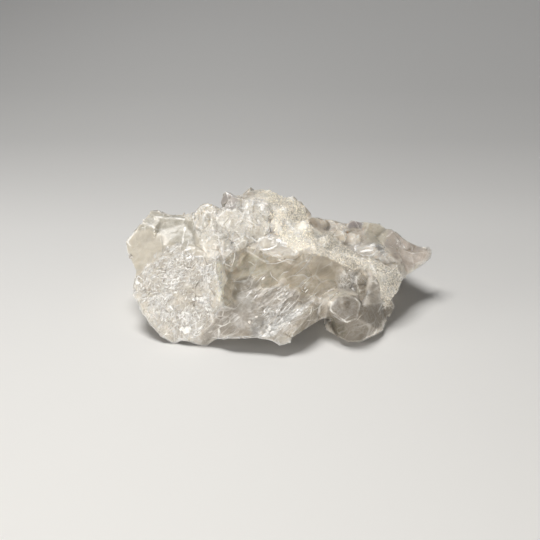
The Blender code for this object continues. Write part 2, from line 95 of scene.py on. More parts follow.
# %% The leaning plane
LEAN = math.radians(30.0)
EYE_DISTANCE = 417.0 * MM
PLANE_MIDDLE = Vector((-0.38, -4.85, 15.1)) * MM
TO_EYE = Vector((0.0, -math.cos(LEAN), math.sin(LEAN)))
EYE = PLANE_MIDDLE + TO_EYE * EYE_DISTANCE
UP_PLANE = Vector((0.0, math.sin(LEAN), math.cos(LEAN)))


def on_plane(points):
    """Across, up and forward in millimetres: the point from the plane's middle, measured
    along each direction, the first two divided by one less forward over the eye distance."""
    offset = points - np.array(PLANE_MIDDLE)
    forward = offset @ np.array(TO_EYE)
    scale = 1.0 - forward / EYE_DISTANCE
    across = offset[:, 0] / scale
    up = (offset @ np.array(UP_PLANE)) / scale
    return across / MM, up / MM, forward / MM


def off_plane(across, up, forward):
    """The same the other way round: points in metres from millimetres on the plane."""
    scale = 1.0 - np.asarray(forward) * MM / EYE_DISTANCE
    x = np.asarray(across) * MM * scale
    rise = np.asarray(up) * MM * scale
    out = np.asarray(forward) * MM
    steps = rise[..., None] * np.array(UP_PLANE) + out[..., None] * np.array(TO_EYE)
    steps[..., 0] += x
    return np.array(PLANE_MIDDLE) + steps


def laid(tree, across, up):
    """The spots and directions of the skin that the eye sees at places on the plane, and
    whether it sees any there."""
    hits = [tree.ray_cast(EYE, Vector(aim) - EYE) for aim in off_plane(across, up, 0.0 * up)]
    found = np.array([hit[0] is not None for hit in hits])
    spots = np.array([hit[0] if hit[0] is not None else (0.0, 0.0, 0.0) for hit in hits])
    outward = np.array([hit[1] if hit[1] is not None else (0.0, 0.0, 1.0) for hit in hits])
    return spots, outward, found


corner = off_plane(10.0, 10.0, 0.0)
print("10 across and 10 up is, mm:", [round(float(v) / MM, 1) for v in corner])

# %% [markdown]
# ## Weld and refine the skin
# The built solid comes as loose triangles a few millimetres wide. A chip or a grain of quartz
# sugar is a fraction of a millimetre, so the skin needs smaller triangles. A subdivision
# modifier would quarter every triangle alike, small or large. Splitting only the sides that
# are too long gives even triangles for far less, so that is done here with whole arrays.

# %% Weld a copy of the solid
def welded(source):
    """Corners and triangles of a copy of a mesh whose coinciding corners are merged."""
    work = bmesh.new()
    work.from_mesh(source)
    bmesh.ops.remove_doubles(work, verts=work.verts, dist=2e-6)
    bmesh.ops.dissolve_degenerate(work, edges=work.edges, dist=1e-6)
    bmesh.ops.triangulate(work, faces=work.faces)
    copy = bpy.data.meshes.new("welded")
    work.to_mesh(copy)
    work.free()
    corners = np.empty(len(copy.vertices) * 3)
    copy.vertices.foreach_get("co", corners)
    sides = np.empty(len(copy.polygons) * 3, np.int64)
    copy.polygons.foreach_get("vertices", sides)
    bpy.data.meshes.remove(copy)
    return corners.reshape(-1, 3), sides.reshape(-1, 3)


points, triangles = welded(frame["nodes"][NODE].data)
print("welded:", len(points), "corners,", len(triangles), "triangles")


# %% Directions of faces and corners
def face_normals(points, triangles):
    """Cross product of two sides of each triangle: its length is twice the area."""
    first = points[triangles[:, 1]] - points[triangles[:, 0]]
    second = points[triangles[:, 2]] - points[triangles[:, 0]]
    return np.cross(first, second)


def unit(vectors):
    """Each vector divided by its length."""
    return vectors / np.maximum(np.linalg.norm(vectors, axis=-1, keepdims=True), 1e-12)


def corner_normals(points, triangles):
    """The sum of the cross products of the triangles round a corner, made one long."""
    each = face_normals(points, triangles)
    total = np.zeros_like(points)
    for axis in range(3):
        for corner in range(3):
            total[:, axis] += np.bincount(triangles[:, corner], each[:, axis], len(points))
    return unit(total)


def sides_of(points, triangles):
    """The mesh's sides without repeats, and which three each triangle has."""
    ends = triangles[:, [0, 1, 1, 2, 2, 0]].reshape(-1, 2)
    key = ends.min(axis=1) * len(points) + ends.max(axis=1)
    unique, inverse = np.unique(key, return_inverse=True)
    return np.stack([unique // len(points), unique % len(points)], axis=1), inverse.reshape(-1, 3)


area = 0.5 * np.linalg.norm(face_normals(points, triangles), axis=1).sum()
print("area of the skin, square cm:", round(float(area) * 1e4, 1))

# %% [markdown]
# ## Tell crystal faces from broken rock
# A grown crystal face is flat, so its triangles share a plane. Broken rock never has two
# triangles in one plane. That difference marks which parts of the skin stay flat and glossy.

# %% Mark flat crystal faces
FLAT_WITHIN = math.cos(math.radians(0.6))


def grown_faces(points, triangles):
    """1 for a triangle that lies in one plane with a neighbour, found by comparing the unit
    normals of the two triangles on each side, and 0 for any other."""
    normals = unit(face_normals(points, triangles))
    sides, inverse = sides_of(points, triangles)
    owner = np.repeat(np.arange(len(triangles)), 3)
    order = np.argsort(inverse.ravel(), kind="stable")
    side = inverse.ravel()[order]
    face = owner[order]
    pair = np.flatnonzero(side[1:] == side[:-1])
    left, right = face[pair], face[pair + 1]
    flat = (normals[left] * normals[right]).sum(axis=1) > FLAT_WITHIN
    grown = np.zeros(len(triangles))
    grown[left[flat]] = 1.0
    grown[right[flat]] = 1.0
    return grown


grown = grown_faces(points, triangles)
print("grown crystal faces:", int(grown.sum()), "of", len(grown), "triangles")

# %% [markdown]
# ## Where each finish belongs
# A zone is a closed outline on the leaning plane, with a soft edge. A corner of the skin is
# in the zone by how far inside the outline it looks from the eye. Painting weights by hand
# would do the same, but an outline of a few corners is easier to read and to move.

# %% Soft zones
def soft_step(value, low, high):
    """0 below low, 1 above high, and a smooth S between them."""
    t = np.clip((value - low) / (high - low), 0.0, 1.0)
    return t * t * (3.0 - 2.0 * t)


def side_distance(across, up, start, end):
    """Distance from each point to the nearest spot of a straight side."""
    dx, dy = end[0] - start[0], end[1] - start[1]
    along = ((across - start[0]) * dx + (up - start[1]) * dy) / (dx * dx + dy * dy)
    along = np.clip(along, 0.0, 1.0)
    return np.hypot(across - start[0] - along * dx, up - start[1] - along * dy)


def zone(across, up, outline, soft=1.0):
    """Signed distance to a closed outline, inside by the even-odd rule, through a soft step."""
    nearest = np.full(len(across), 1e9)
    inside = np.zeros(len(across), bool)
    for start, end in zip(outline, outline[1:] + outline[:1]):
        nearest = np.minimum(nearest, side_distance(across, up, start, end))
        crosses = (start[1] > up) != (end[1] > up)
        rise = end[1] - start[1] if end[1] != start[1] else 1e-9
        inside ^= crosses & (across < start[0] + (up - start[1]) / rise * (end[0] - start[0]))
    return soft_step(np.where(inside, nearest, -nearest), -soft, soft)


print("halfway up a soft step:", soft_step(0.5, 0.0, 1.0))


# %% The zones, in millimetres across and up
ZONES = {
    "broken face": [
        (-47.1, -2.5), (-43.5, 0.8), (-40.2, 3.8), (-37.3, 6.4), (-34.6, 8.0), (-31.4, 7.0),
        (-27.5, 4.1), (-21.6, 3.1), (-19.6, 3.4), (-18.6, -2.1), (-18.6, -12.3),
        (-19.6, -13.6), (-23.2, -17.5), (-27.8, -23.0), (-30.1, -24.7), (-34.0, -23.7),
        (-38.9, -21.1), (-42.2, -17.5), (-44.4, -12.9), (-47.4, -7.7), (-48.0, -5.1),
    ],
    "side strip": [
        (-20.6, 3.4), (-19.0, 2.1), (-17.0, -3.8), (-18.3, -7.7), (-19.3, -10.3),
        (-20.9, -7.0), (-20.6, -1.1),
    ],
    "left block": [
        (-50.3, 6.0), (-50.0, 8.3), (-47.1, 11.9), (-41.8, 19.1), (-38.2, 18.5),
        (-32.0, 17.5), (-28.1, 14.9), (-27.5, 11.3), (-25.5, 6.7), (-27.5, 4.1),
        (-37.3, 8.0), (-39.2, 4.1), (-42.2, 2.1), (-47.7, -2.5),
    ],
    "lumps": [
        (-32.0, 18.5), (-27.5, 20.8), (-23.9, 22.4), (-19.9, 20.4), (-12.7, 21.7),
        (-7.5, 23.7), (-3.6, 22.4), (-2.3, 17.5), (-2.9, 10.6), (-10.8, 6.7), (-14.4, 6.0),
        (-18.3, 2.1), (-24.2, 3.4), (-27.5, 11.3), (-28.1, 14.9),
    ],
    "grey crystal": [
        (-19.9, 22.4), (-19.0, 24.7), (-16.0, 25.0), (-13.4, 23.4), (-13.1, 19.8),
        (-18.0, 18.8),
    ],
    "hollow": [
        (-18.3, 2.1), (-14.4, 5.4), (-10.8, 6.7), (-5.6, 5.4), (-1.3, 3.4), (3.6, 2.1),
        (1.0, -3.8), (-3.6, -6.4), (-9.5, -9.6), (-15.4, -12.3), (-19.0, -12.9),
        (-18.3, -7.0), (-17.0, -3.1),
    ],
    "lower face": [
        (-27.5, -23.0), (-24.2, -20.1), (-18.3, -12.9), (-9.5, -9.6), (-4.2, -9.3),
        (-3.6, -16.8), (-5.6, -22.7), (-12.7, -22.7), (-20.3, -22.4), (-24.2, -25.0),
    ],
    "hollow sill": [
        (-15.0, -3.6), (-12.6, -2.2), (-8.4, -2.2), (-6.4, -4.6), (-7.0, -9.0), (-9.6, -13.2),
        (-13.8, -13.4), (-15.6, -9.0),
    ],
    "torn face": [
        (-9.5, -7.7), (-3.6, -6.0), (2.0, -5.7), (8.5, -7.0), (11.4, -10.3), (6.9, -16.2),
        (2.0, -20.8), (-2.3, -23.4), (-6.2, -22.1), (-5.6, -16.2), (-7.8, -11.9),
    ],
    "keel": [
        (3.9, -22.4), (15.7, -16.2), (15.7, -11.9), (10.8, -10.3), (6.9, -16.2),
        (2.3, -20.8),
    ],
    "window": [
        (2.0, 3.4), (8.5, 5.4), (18.3, 4.7), (26.5, 2.1), (28.4, -3.8), (25.8, -7.7),
        (18.3, -7.7), (12.7, -10.3), (6.9, -7.7), (2.0, -5.7), (0.3, -1.1),
    ],
    "brown heart": [
        (11.8, 3.4), (16.7, 4.1), (19.3, 1.5), (18.0, -2.5), (12.7, -3.1), (10.8, 0.2),
    ],
    "ledge": [(19.0, -1.1), (26.1, -0.5), (26.5, -7.7), (19.9, -7.7)],
    "notch": [(25.8, -3.1), (28.8, -2.5), (29.1, -7.7), (25.8, -9.0)],
    "blade": [
        (28.8, -8.3), (30.4, -2.5), (35.0, -1.1), (36.3, -7.0), (34.6, -11.6),
        (32.7, -17.2),
    ],
    "rim": [
        (34.6, 0.8), (39.5, -1.1), (40.2, -4.1), (38.2, -7.7), (35.6, -10.3),
        (33.3, -9.0), (34.0, -4.4),
    ],
    "brown crystal": [
        (7.8, 20.1), (10.8, 18.5), (14.1, 11.9), (12.7, 10.6), (8.5, 14.2), (6.9, 17.8),
    ],
    "far crystals": [
        (12.7, 17.8), (18.3, 17.8), (22.5, 15.2), (26.5, 18.1), (32.4, 15.8), (37.3, 12.9),
        (41.8, 8.0), (41.2, 4.1), (34.3, 3.0), (26.0, 8.0), (15.0, 10.0),
    ],
    "purple crystal": [
        (21.9, 15.2), (23.2, 17.8), (26.5, 18.1), (29.1, 16.5), (28.4, 13.2), (23.2, 13.2),
    ],
    "green crystal": [
        (27.0, 14.0), (29.5, 16.5), (32.0, 16.3), (35.5, 13.8), (36.0, 9.5), (33.5, 7.4), (29.0, 7.8),
    ],
    "pink crystal": [
        (35.3, 13.0), (37.5, 13.4), (41.5, 9.5), (43.0, 7.5), (42.5, 3.5), (37.0, 4.0), (35.0, 8.0),
    ],
    "right end": [
        (40.5, 8.7), (45.4, 7.0), (49.7, 6.7), (49.7, 4.1), (46.1, 1.5), (43.5, -1.1),
        (40.5, -0.5), (39.5, 3.4),
    ],
    "lower crystals": [
        (16.3, -11.9), (19.3, -8.6), (25.9, -9.0), (28.0, -11.6), (34.0, -11.6),
        (36.9, -10.3), (37.3, -14.9), (34.0, -16.8), (33.7, -18.8), (28.1, -23.4),
        (24.8, -25.6), (20.9, -24.4), (16.0, -19.4), (15.6, -16.2),
    ],
    "dark lower facet": [
        (16.0, -16.2), (21.2, -17.5), (21.6, -23.7), (18.6, -22.1), (16.3, -18.8),
    ],
    "block top": [
        (-47.1, 11.9), (-41.8, 19.1), (-38.2, 18.5), (-32.0, 17.5), (-28.1, 14.9),
        (-27.5, 11.3), (-28.0, 8.0), (-36.0, 9.0), (-39.0, 12.0), (-43.0, 12.5),
    ],
    "split ground": [
        (-18.3, 2.1), (-14.4, 5.4), (-10.8, 6.7), (-5.6, 5.4), (-1.3, 3.4), (3.6, 3.4),
        (8.5, 5.0), (18.3, 4.4), (26.5, 1.6), (28.0, -3.8), (25.8, -7.7), (19.0, -8.0),
        (15.0, -11.0), (11.4, -11.4), (6.9, -15.8), (2.0, -20.2), (-2.3, -21.9),
        (-5.6, -21.6), (-12.7, -21.6), (-20.3, -21.4), (-26.0, -22.4), (-24.2, -20.1),
        (-18.8, -13.5), (-17.8, -7.0), (-16.8, -3.1),
    ],
    "streak": [
        (6.9, -11.3), (8.2, -13.2), (5.6, -15.8), (1.6, -18.5), (-2.0, -22.4), (-5.6, -22.7),
        (-4.9, -20.9), (-2.3, -18.6), (1.0, -16.8), (4.2, -14.2),
    ],
    "crust": [
        (-7.0, 23.8), (-4.9, 25.8), (-1.3, 25.8), (2.3, 24.5), (5.6, 22.1), (7.8, 19.4),
        (9.5, 16.5), (10.1, 13.9), (13.4, 11.3), (17.0, 11.9), (19.3, 9.3), (23.2, 5.4),
        (25.8, 3.1), (30.1, 2.5), (34.3, 1.5), (38.6, -0.5), (40.2, -3.4), (39.5, -7.0),
        (37.3, -10.6), (34.6, -12.9), (33.3, -10.0), (34.0, -7.0), (32.0, -3.1),
        (30.1, -1.1), (26.5, 0.2), (22.9, 1.1), (18.3, 2.8), (14.1, 4.7), (10.1, 6.7),
        (6.9, 6.4), (3.6, 6.4), (1.3, 9.3), (-0.7, 11.3), (-1.0, 13.9), (-2.9, 16.5),
        (-4.2, 20.4), (-6.2, 21.4),
    ],
    "crust end": [
        (15.0, 13.0), (24.0, 8.0), (34.0, 4.0), (41.0, 0.0), (41.0, -12.0), (33.0, -13.0),
        (32.0, -3.0), (22.0, 0.0), (12.0, 5.0), (12.0, 9.0),
    ],
}
print("zones:", len(ZONES))

# %% [markdown]
# ## Small triangles where the ground is rough
# The chips on the broken face are under a millimetre, and the split faces are smooth. So the
# longest side allowed depends on the zone, on whether a face was grown, and on whether it
# faces the eye.

# %% How long a side may be
ROUGH_SIDE = 0.40 * MM  # longest side allowed on chipped ground that faces the eye
PLAIN_SIDE = 0.75 * MM  # on the rest of the broken rock that faces it
FACE_SIDE = 1.20 * MM  # on a crystal face that faces it
HIDDEN_ROCK_SIDE = 1.10 * MM
HIDDEN_FACE_SIDE = 2.40 * MM
ROUGH_GROUND = ("broken face", "torn face", "crust", "rim", "ledge", "lumps")
print("longest side on chipped ground, mm:", ROUGH_SIDE / MM)


def rough_ground(points):
    """How far each point is on chipped ground, from 0 to 1."""
    across, up, _ = on_plane(points)
    return np.max([zone(across, up, ZONES[name]) for name in ROUGH_GROUND], axis=0)


def longest_side(outward, rough, grown_here):
    """The longest side allowed, between a rough and a plain limit where the side faces the
    eye, and between a rock and a crystal limit elsewhere."""
    facing = np.clip((outward @ np.array(TO_EYE) + 0.25) / 0.35, 0.0, 1.0)
    plain = PLAIN_SIDE + (FACE_SIDE - PLAIN_SIDE) * grown_here
    near = plain + (ROUGH_SIDE - plain) * rough
    far = HIDDEN_ROCK_SIDE + (HIDDEN_FACE_SIDE - HIDDEN_ROCK_SIDE) * grown_here
    return far + (near - far) * facing


# %% Split the long sides
def corner_mean(marks, triangles, count):
    """The mean of a number per triangle over the triangles round each corner."""
    total = np.bincount(triangles.ravel(), np.repeat(marks, 3), count)
    return total / np.maximum(np.bincount(triangles.ravel(), minlength=count), 1)


def refine(points, triangles, marks):
    """Splits each side that is too long at its middle, and each triangle into two, three or
    four by how many of its sides were split, until every side is short enough."""
    rough = rough_ground(points)
    while True:
        sides, inverse = sides_of(points, triangles)
        start, end = points[sides[:, 0]], points[sides[:, 1]]
        normals = corner_normals(points, triangles)
        outward = unit(normals[sides[:, 0]] + normals[sides[:, 1]])
        on_face = corner_mean(marks, triangles, len(points))
        middles = 0.5 * (start + end)
        allowed = longest_side(outward, rough[sides].mean(axis=1), on_face[sides].min(axis=1))
        split = np.linalg.norm(end - start, axis=1) > allowed
        if not split.any():
            return points, triangles, marks
        fresh = np.full(len(sides), -1)
        fresh[split] = len(points) + np.arange(split.sum())
        points = np.vstack([points, middles[split]])
        rough = np.concatenate([rough, rough_ground(middles[split])])
        middle = fresh[inverse]
        count = (middle >= 0).sum(axis=1)
        # turn each triangle so that its split sides come first
        turn = np.where(count == 1, np.argmax(middle >= 0, axis=1), 0)
        turn = np.where(count == 2, (np.argmin(middle >= 0, axis=1) + 1) % 3, turn)
        column = (turn[:, None] + np.arange(3)) % 3
        row = np.arange(len(triangles))[:, None]
        corner, middle = triangles[row, column], middle[row, column]
        a, b, c = corner.T
        p, q, r = middle.T
        none, one, two, three = (count == n for n in range(4))
        pieces = [
            (none, (a, b, c)),
            (one, (a, p, c)), (one, (p, b, c)),
            (two, (p, b, q)), (two, (a, p, q)), (two, (a, q, c)),
            (three, (a, p, r)), (three, (p, b, q)), (three, (r, q, c)), (three, (p, q, r)),
        ]
        triangles = np.vstack([np.stack(part, axis=1)[which] for which, part in pieces])
        marks = np.concatenate([marks[which] for which, part in pieces])


points, triangles, grown = refine(points, triangles, grown)
print("refined:", len(points), "corners,", len(triangles), "triangles")

# %% [markdown]
# ## Noise made of cells
# Quartz breaks in small shells: shallow bowls that meet in sharp ridges. Cells round scattered
# points have just that shape, if the height grows with the square of the distance to the
# nearest point. Tilting each cell by a number of its own gives flat chips as well. The points
# are scattered by a hash of each cell's whole numbers, so every run gives the same rock.

# %% Hashed cells
def hashed(cell, seed):
    """Three repeatable numbers from 0 to 1 for each whole-numbered cell: its numbers are
    multiplied by large odd numbers, mixed by shifts, and cut to 24 bits."""
    mixed = np.uint32(seed * 2654435761 % 2**32) * np.ones(len(cell), np.uint32)
    for axis, odd in enumerate((73856093, 19349663, 83492791)):
        mixed ^= cell[:, axis].astype(np.int64).astype(np.uint32) * np.uint32(odd)
    out = []
    for odd in (2246822519, 3266489917, 668265263):
        mixed = (mixed ^ (mixed >> np.uint32(15))) * np.uint32(odd)
        mixed ^= mixed >> np.uint32(13)
        out.append((mixed >> np.uint32(8)).astype(float) / 2**24)
    return np.stack(out, axis=1)


def cells(where, size, seed, stretch=None):
    """Nearest scattered point of each place, of one point per cell and its 26 neighbours:
    the distance to it, the step from it, and its own numbers."""
    spot = where / size
    if stretch is not None:
        spot = spot @ stretch
    home = np.floor(spot)
    near = np.full(len(spot), 1e9)
    step = np.zeros_like(spot)
    own = np.zeros_like(spot)
    for shift in np.ndindex(3, 3, 3):
        cell = home + np.array(shift) - 1.0
        jitter = hashed(cell, seed)
        gap = spot - cell - jitter
        distance = np.sqrt((gap * gap).sum(axis=1))
        closer = distance < near
        near = np.where(closer, distance, near)
        step = np.where(closer[:, None], gap, step)
        own = np.where(closer[:, None], hashed(cell, seed + 101), own)
    return near, step, own


print("three numbers of one cell:", hashed(np.zeros((1, 3)), 1)[0].round(2).tolist())


# %% Chips and clouds
def chips(where, size, seed, stretch=None, tilt=1.0):
    """Height of chipped rock, about -0.5 to 0.5: the squared distance to the nearest point
    makes bowls with sharp rims, and each cell's own slope tilts it."""
    near, step, own = cells(where, size, seed, stretch)
    slope = (step * (2.0 * own - 1.0)).sum(axis=1)
    return 0.9 * near * near - 0.3 + tilt * slope


def clouds(where, size, seed):
    """Smooth noise from 0 to 1: numbers at the corners of a cube grid, mixed by soft steps."""
    spot = where / size
    home = np.floor(spot)
    part = spot - home
    part = part * part * (3.0 - 2.0 * part)
    total = np.zeros(len(spot))
    for shift in np.ndindex(2, 2, 2):
        share = np.prod(np.where(np.array(shift) == 1, part, 1.0 - part), axis=1)
        total += share * hashed(home + np.array(shift), seed)[:, 0]
    return total


print("chips, mean height:", round(float(chips(points, 3.0 * MM, 1).mean()), 2))


# %% Weigh every corner by its zones
EDGE = 0.5  # how soft a zone's border is, in millimetres
SOFT = {
    "torn face": 1.8, "hollow sill": 1.3, "lower face": 1.5, "window": 1.2, "brown heart": 2.0,
    "ledge": 1.2, "keel": 1.2,
}
RAGGED = 0.9  # how far a zone's border wanders, in millimetres
across, up, forward = on_plane(points)
across += RAGGED * (2.0 * clouds(points, 2.4 * MM, 21) - 1.0)
up += RAGGED * (2.0 * clouds(points, 2.4 * MM, 22) - 1.0)
normals = corner_normals(points, triangles)
seen = soft_step(normals @ np.array(TO_EYE), -0.15, 0.2)
weight = {
    name: zone(across, up, outline, SOFT.get(name, EDGE)) * seen for name, outline in ZONES.items()
}
weight["crust end"] = weight["crust end"] * weight["crust"]
print("corners that the eye sees:", int((seen > 0.5).sum()))


def strongest(*names):
    """The largest of several zones' weights at each corner."""
    return np.max([weight[name] for name in names], axis=0)


# %% [markdown]
# ## How far it is to a crystal's edge
# The edges of a crystal catch the light as thin bright lines. A corner of the skin that lies on
# a sharp side is at distance 0, and each round of spreading gives a corner the least of its
# neighbours' distances plus the side between. The shader paints that highlight as a line from
# that number, so it comes out far thinner than the triangles.

# %% Distance to the nearest sharp edge
SHARP_EDGE = math.radians(22.0)
NO_EDGE = 9.0 * MM  # the distance where no edge is near


def edge_distance(points, triangles, rounds=4):
    """Distance along the skin to the nearest convex side whose two triangles turn by more than
    the sharp angle, spread outwards for a few rounds from the corners on those sides."""
    normals = unit(face_normals(points, triangles))
    centres = points[triangles].mean(axis=1)
    sides, inverse = sides_of(points, triangles)
    order = np.argsort(inverse.ravel(), kind="stable")
    face = np.repeat(np.arange(len(triangles)), 3)[order]
    pair = np.flatnonzero(np.diff(inverse.ravel()[order]) == 0)
    left, right = face[pair], face[pair + 1]
    turned = (normals[left] * normals[right]).sum(axis=1) < math.cos(SHARP_EDGE)
    convex = ((centres[right] - centres[left]) * normals[left]).sum(axis=1) < 0.0
    sharp = sides[inverse.ravel()[order][pair][turned & convex]]
    distance = np.full(len(points), NO_EDGE)
    distance[sharp.ravel()] = 0.0
    a, b = sides.T
    length = np.linalg.norm(points[a] - points[b], axis=1)
    for _ in range(rounds):
        reach = distance.copy()
        np.minimum.at(reach, a, distance[b] + length)
        np.minimum.at(reach, b, distance[a] + length)
        distance = reach
    return distance


edge = edge_distance(points, triangles)
print("corners on a sharp edge:", int((edge == 0.0).sum()))

# %% [markdown]
# ## Break, chip and polish the skin
# Each kind of ground gets its own depth and grain: the broken face is all small shells, the
# torn face has fibres that run down to the right, the crust is sugar, and the window and the
# lower face were split so cleanly that they are smooth. Sculpting could smooth them by hand.
# Here the split ground is first levelled towards one curved sheet, fitted to it by least
# squares, and then relaxed, each corner moving to the mean of its neighbours. That turns its
# facets into one face and keeps its borders.

# %% Means of neighbours, and one smooth sheet
def neighbour_mean(points, sides):
    """The mean of the neighbours of each corner, which are the other ends of its sides."""
    left, right = sides.T
    count = np.bincount(sides.ravel(), minlength=len(points))
    mean = np.empty_like(points)
    for axis in range(3):
        mean[:, axis] = np.bincount(left, points[right, axis], len(points))
        mean[:, axis] += np.bincount(right, points[left, axis], len(points))
    return mean / np.maximum(count, 1)[:, None]


def relaxed(points, sides, share, rounds):
    """Moves each corner by its share towards the mean of its neighbours, several times. Only
    the sides near a moving corner are looked at."""
    sides = sides[(share[sides] > 0.0).any(axis=1)]
    for _ in range(rounds):
        points = points + share[:, None] * (neighbour_mean(points, sides) - points)
    return points


def filled(points, triangles, sides, share, rounds):
    """Fills creases and leaves ridges alone: each corner moves outwards by its share of how
    far the mean of its neighbours stands out, and never inwards."""
    for _ in range(rounds):
        normals = corner_normals(points, triangles)
        out = ((neighbour_mean(points, sides) - points) * normals).sum(axis=1)
        points = points + normals * (share * np.maximum(out, 0.0))[:, None]
    return points


SHEET_WIDTH = 25.0  # millimetres; keeps the powers of across and up near 1


def levelled(points, share):
    """The skin moved by its share to one smooth curved sheet. The sheet's distance forward is
    a square polynomial of across and up, the one with the least squared error over the zone."""
    across, up, forward = on_plane(points)
    x, y = across / SHEET_WIDTH, up / SHEET_WIDTH
    powers = [(i, j) for i in range(3) for j in range(3 - i)]
    terms = np.stack([x**i * y**j for i, j in powers], axis=1)
    use = share > 0.5
    factors = np.linalg.lstsq(terms[use], forward[use], rcond=None)[0]
    return off_plane(across, up, forward + share * (terms @ factors - forward))


sides, _ = sides_of(points, triangles)
print("sides:", len(sides))


# %% Level the split ground and relax the smooth ground
LEVEL = 0.93  # how much of the way to the sheet the split ground goes
grown_share = corner_mean(grown, triangles, len(points))
front = soft_step(normals @ np.array(TO_EYE), -0.5, -0.1)
# split ground faces the eye, or stands in front of the leaning plane
proud = soft_step(forward, -0.014, -0.010)
split = zone(across, up, ZONES["split ground"], 0.8) * np.maximum(front, proud)
smooth = np.maximum(split, weight["blade"]) * (1.0 - strongest("torn face", "ledge", "crust"))
# the sheet fades out to the left, where the hollow is deepest
points = levelled(points, LEVEL * split * soft_step(across, -17.5, -9.0))
points = relaxed(points, sides, 0.5 * np.maximum(split, weight["blade"] * (1.0 - grown_share)), 80)
points = relaxed(points, sides, 0.5 * weight["lower crystals"], 14)
points = relaxed(points, sides, 0.5 * weight["crust"], 70)
points = relaxed(points, sides, 0.5 * weight["lumps"], 30)
points = relaxed(points, sides, 0.5 * weight["block top"], 30)
points = filled(points, triangles, sides, 0.9 * strongest("lumps", "crust", "lower crystals"), 50)
print("relaxed ground:", int((smooth > 0.5).sum()), "corners")

# %% [markdown]
# ## Worn crystals in the wall
# Many lumps of the front are stubby crystals whose edges have been rubbed round. Seen from
# the eye each is a cap: a tilted top, and sloping sides all round it, and the nearest of
# these planes wins at every spot. So its height is the least of a few tilted planes, with the
# edges rounded, and the skin is raised to it wherever the cap stands higher. Separate meshes
# would leave dark gaps between them, and this leaves none.

# %% The caps: middle, half width and half height, rise, tilt across and up, number of sides
CAPS = [
    # the lower crystals
    ((22.0, -13.2), (5.6, 4.3), 1.9, (0.05, -0.50), 7),
    ((29.6, -11.2), (4.4, 5.4), 0.9, (-0.35, -0.35), 6),
    ((26.8, -19.0), (6.2, 5.2), 1.2, (-0.15, 0.00), 6),
    ((19.2, -19.0), (3.0, 4.0), 0.4, (0.70, 0.20), 5),
    ((34.0, -15.0), (3.4, 4.4), 0.4, (-0.60, -0.20), 5),
    ((27.4, -5.0), (2.8, 5.2), 0.3, (-0.20, 0.10), 5),
    # the far crystals
    ((12.6, 14.6), (3.5, 3.4), 1.0, (-0.20, -0.20), 6),
    ((18.2, 13.6), (3.6, 2.6), 0.9, (0.10, -0.40), 6),
    ((24.6, 14.8), (3.1, 2.8), 1.0, (0.00, -0.30), 7),
    ((31.4, 11.8), (4.2, 4.5), 1.1, (-0.30, -0.20), 6),
    ((38.4, 8.4), (4.2, 4.3), 0.9, (-0.30, -0.30), 6),
    ((22.6, 9.4), (4.4, 3.2), 0.6, (0.00, -0.40), 6),
    ((28.7, 5.8), (4.1, 2.1), 1.1, (0.00, -0.50), 7),
    # the lumps
    ((-23.6, 16.4), (4.2, 5.6), 0.9, (0.15, -0.10), 6),
    ((-15.4, 14.4), (5.0, 6.0), 1.0, (0.00, -0.20), 7),
    ((-7.8, 15.8), (4.8, 6.8), 0.9, (-0.10, -0.15), 6),
    ((-21.4, 7.4), (3.2, 4.2), 0.7, (0.10, 0.00), 5),
    ((-16.6, 3.4), (1.9, 2.9), 1.0, (-0.20, 0.10), 5),
    ((-17.6, 17.4), (4.6, 2.8), 0.6, (0.00, -0.20), 6),
    # the left block and the lens in the hollow
    ((-35.8, 13.2), (7.0, 3.8), 0.3, (0.00, -0.35), 5),
    ((-44.2, 8.6), (4.6, 6.0), 0.3, (0.35, 0.00), 5),
    ((-1.6, 7.8), (6.0, 3.0), 0.7, (0.00, -0.40), 6),
]
print("caps:", len(CAPS))


# %% One cap
CAP_SLOPE = 1.4  # of the sides, forward over sideways
CAP_ROUND = 0.35  # how far its edges are rounded, in millimetres


def rounded_least(first, second, reach):
    """The smaller of two numbers, with the corner between them rounded by a square root."""
    return 0.5 * (first + second - np.sqrt((first - second) ** 2 + reach * reach))


def cap(across, up, half, rise, tilt, planes, seed):
    """Height of a cap round its own middle, and the distance to its nearest edge: the least
    of the tilted top and of the side planes, which fall off from a wobbly polygon."""
    random = np.random.default_rng(seed)
    turn = 2.0 * math.pi * (np.arange(planes) + random.uniform(-0.25, 0.25, planes)) / planes
    turn = turn + random.uniform(0.0, 2.0)
    border = random.uniform(0.72, 0.95, planes)
    top = rise + tilt[0] * across + tilt[1] * up
    height = top
    outside = np.full(len(across), -9.0)
    for angle, limit in zip(turn, border):
        way = across / half[0] * math.cos(angle) + up / half[1] * math.sin(angle) - limit
        outside = np.maximum(outside, way)
        height = rounded_least(height, top - CAP_SLOPE * min(half) * way, CAP_ROUND)
    return height, np.abs(outside) * min(half)


print("rounded least of 0 and 1:", round(float(rounded_least(0.0, 1.0, CAP_ROUND)), 2))


# %% Raise the skin to the caps
CAP_REACH = 7.0  # millimetres; skin further back than this is left alone


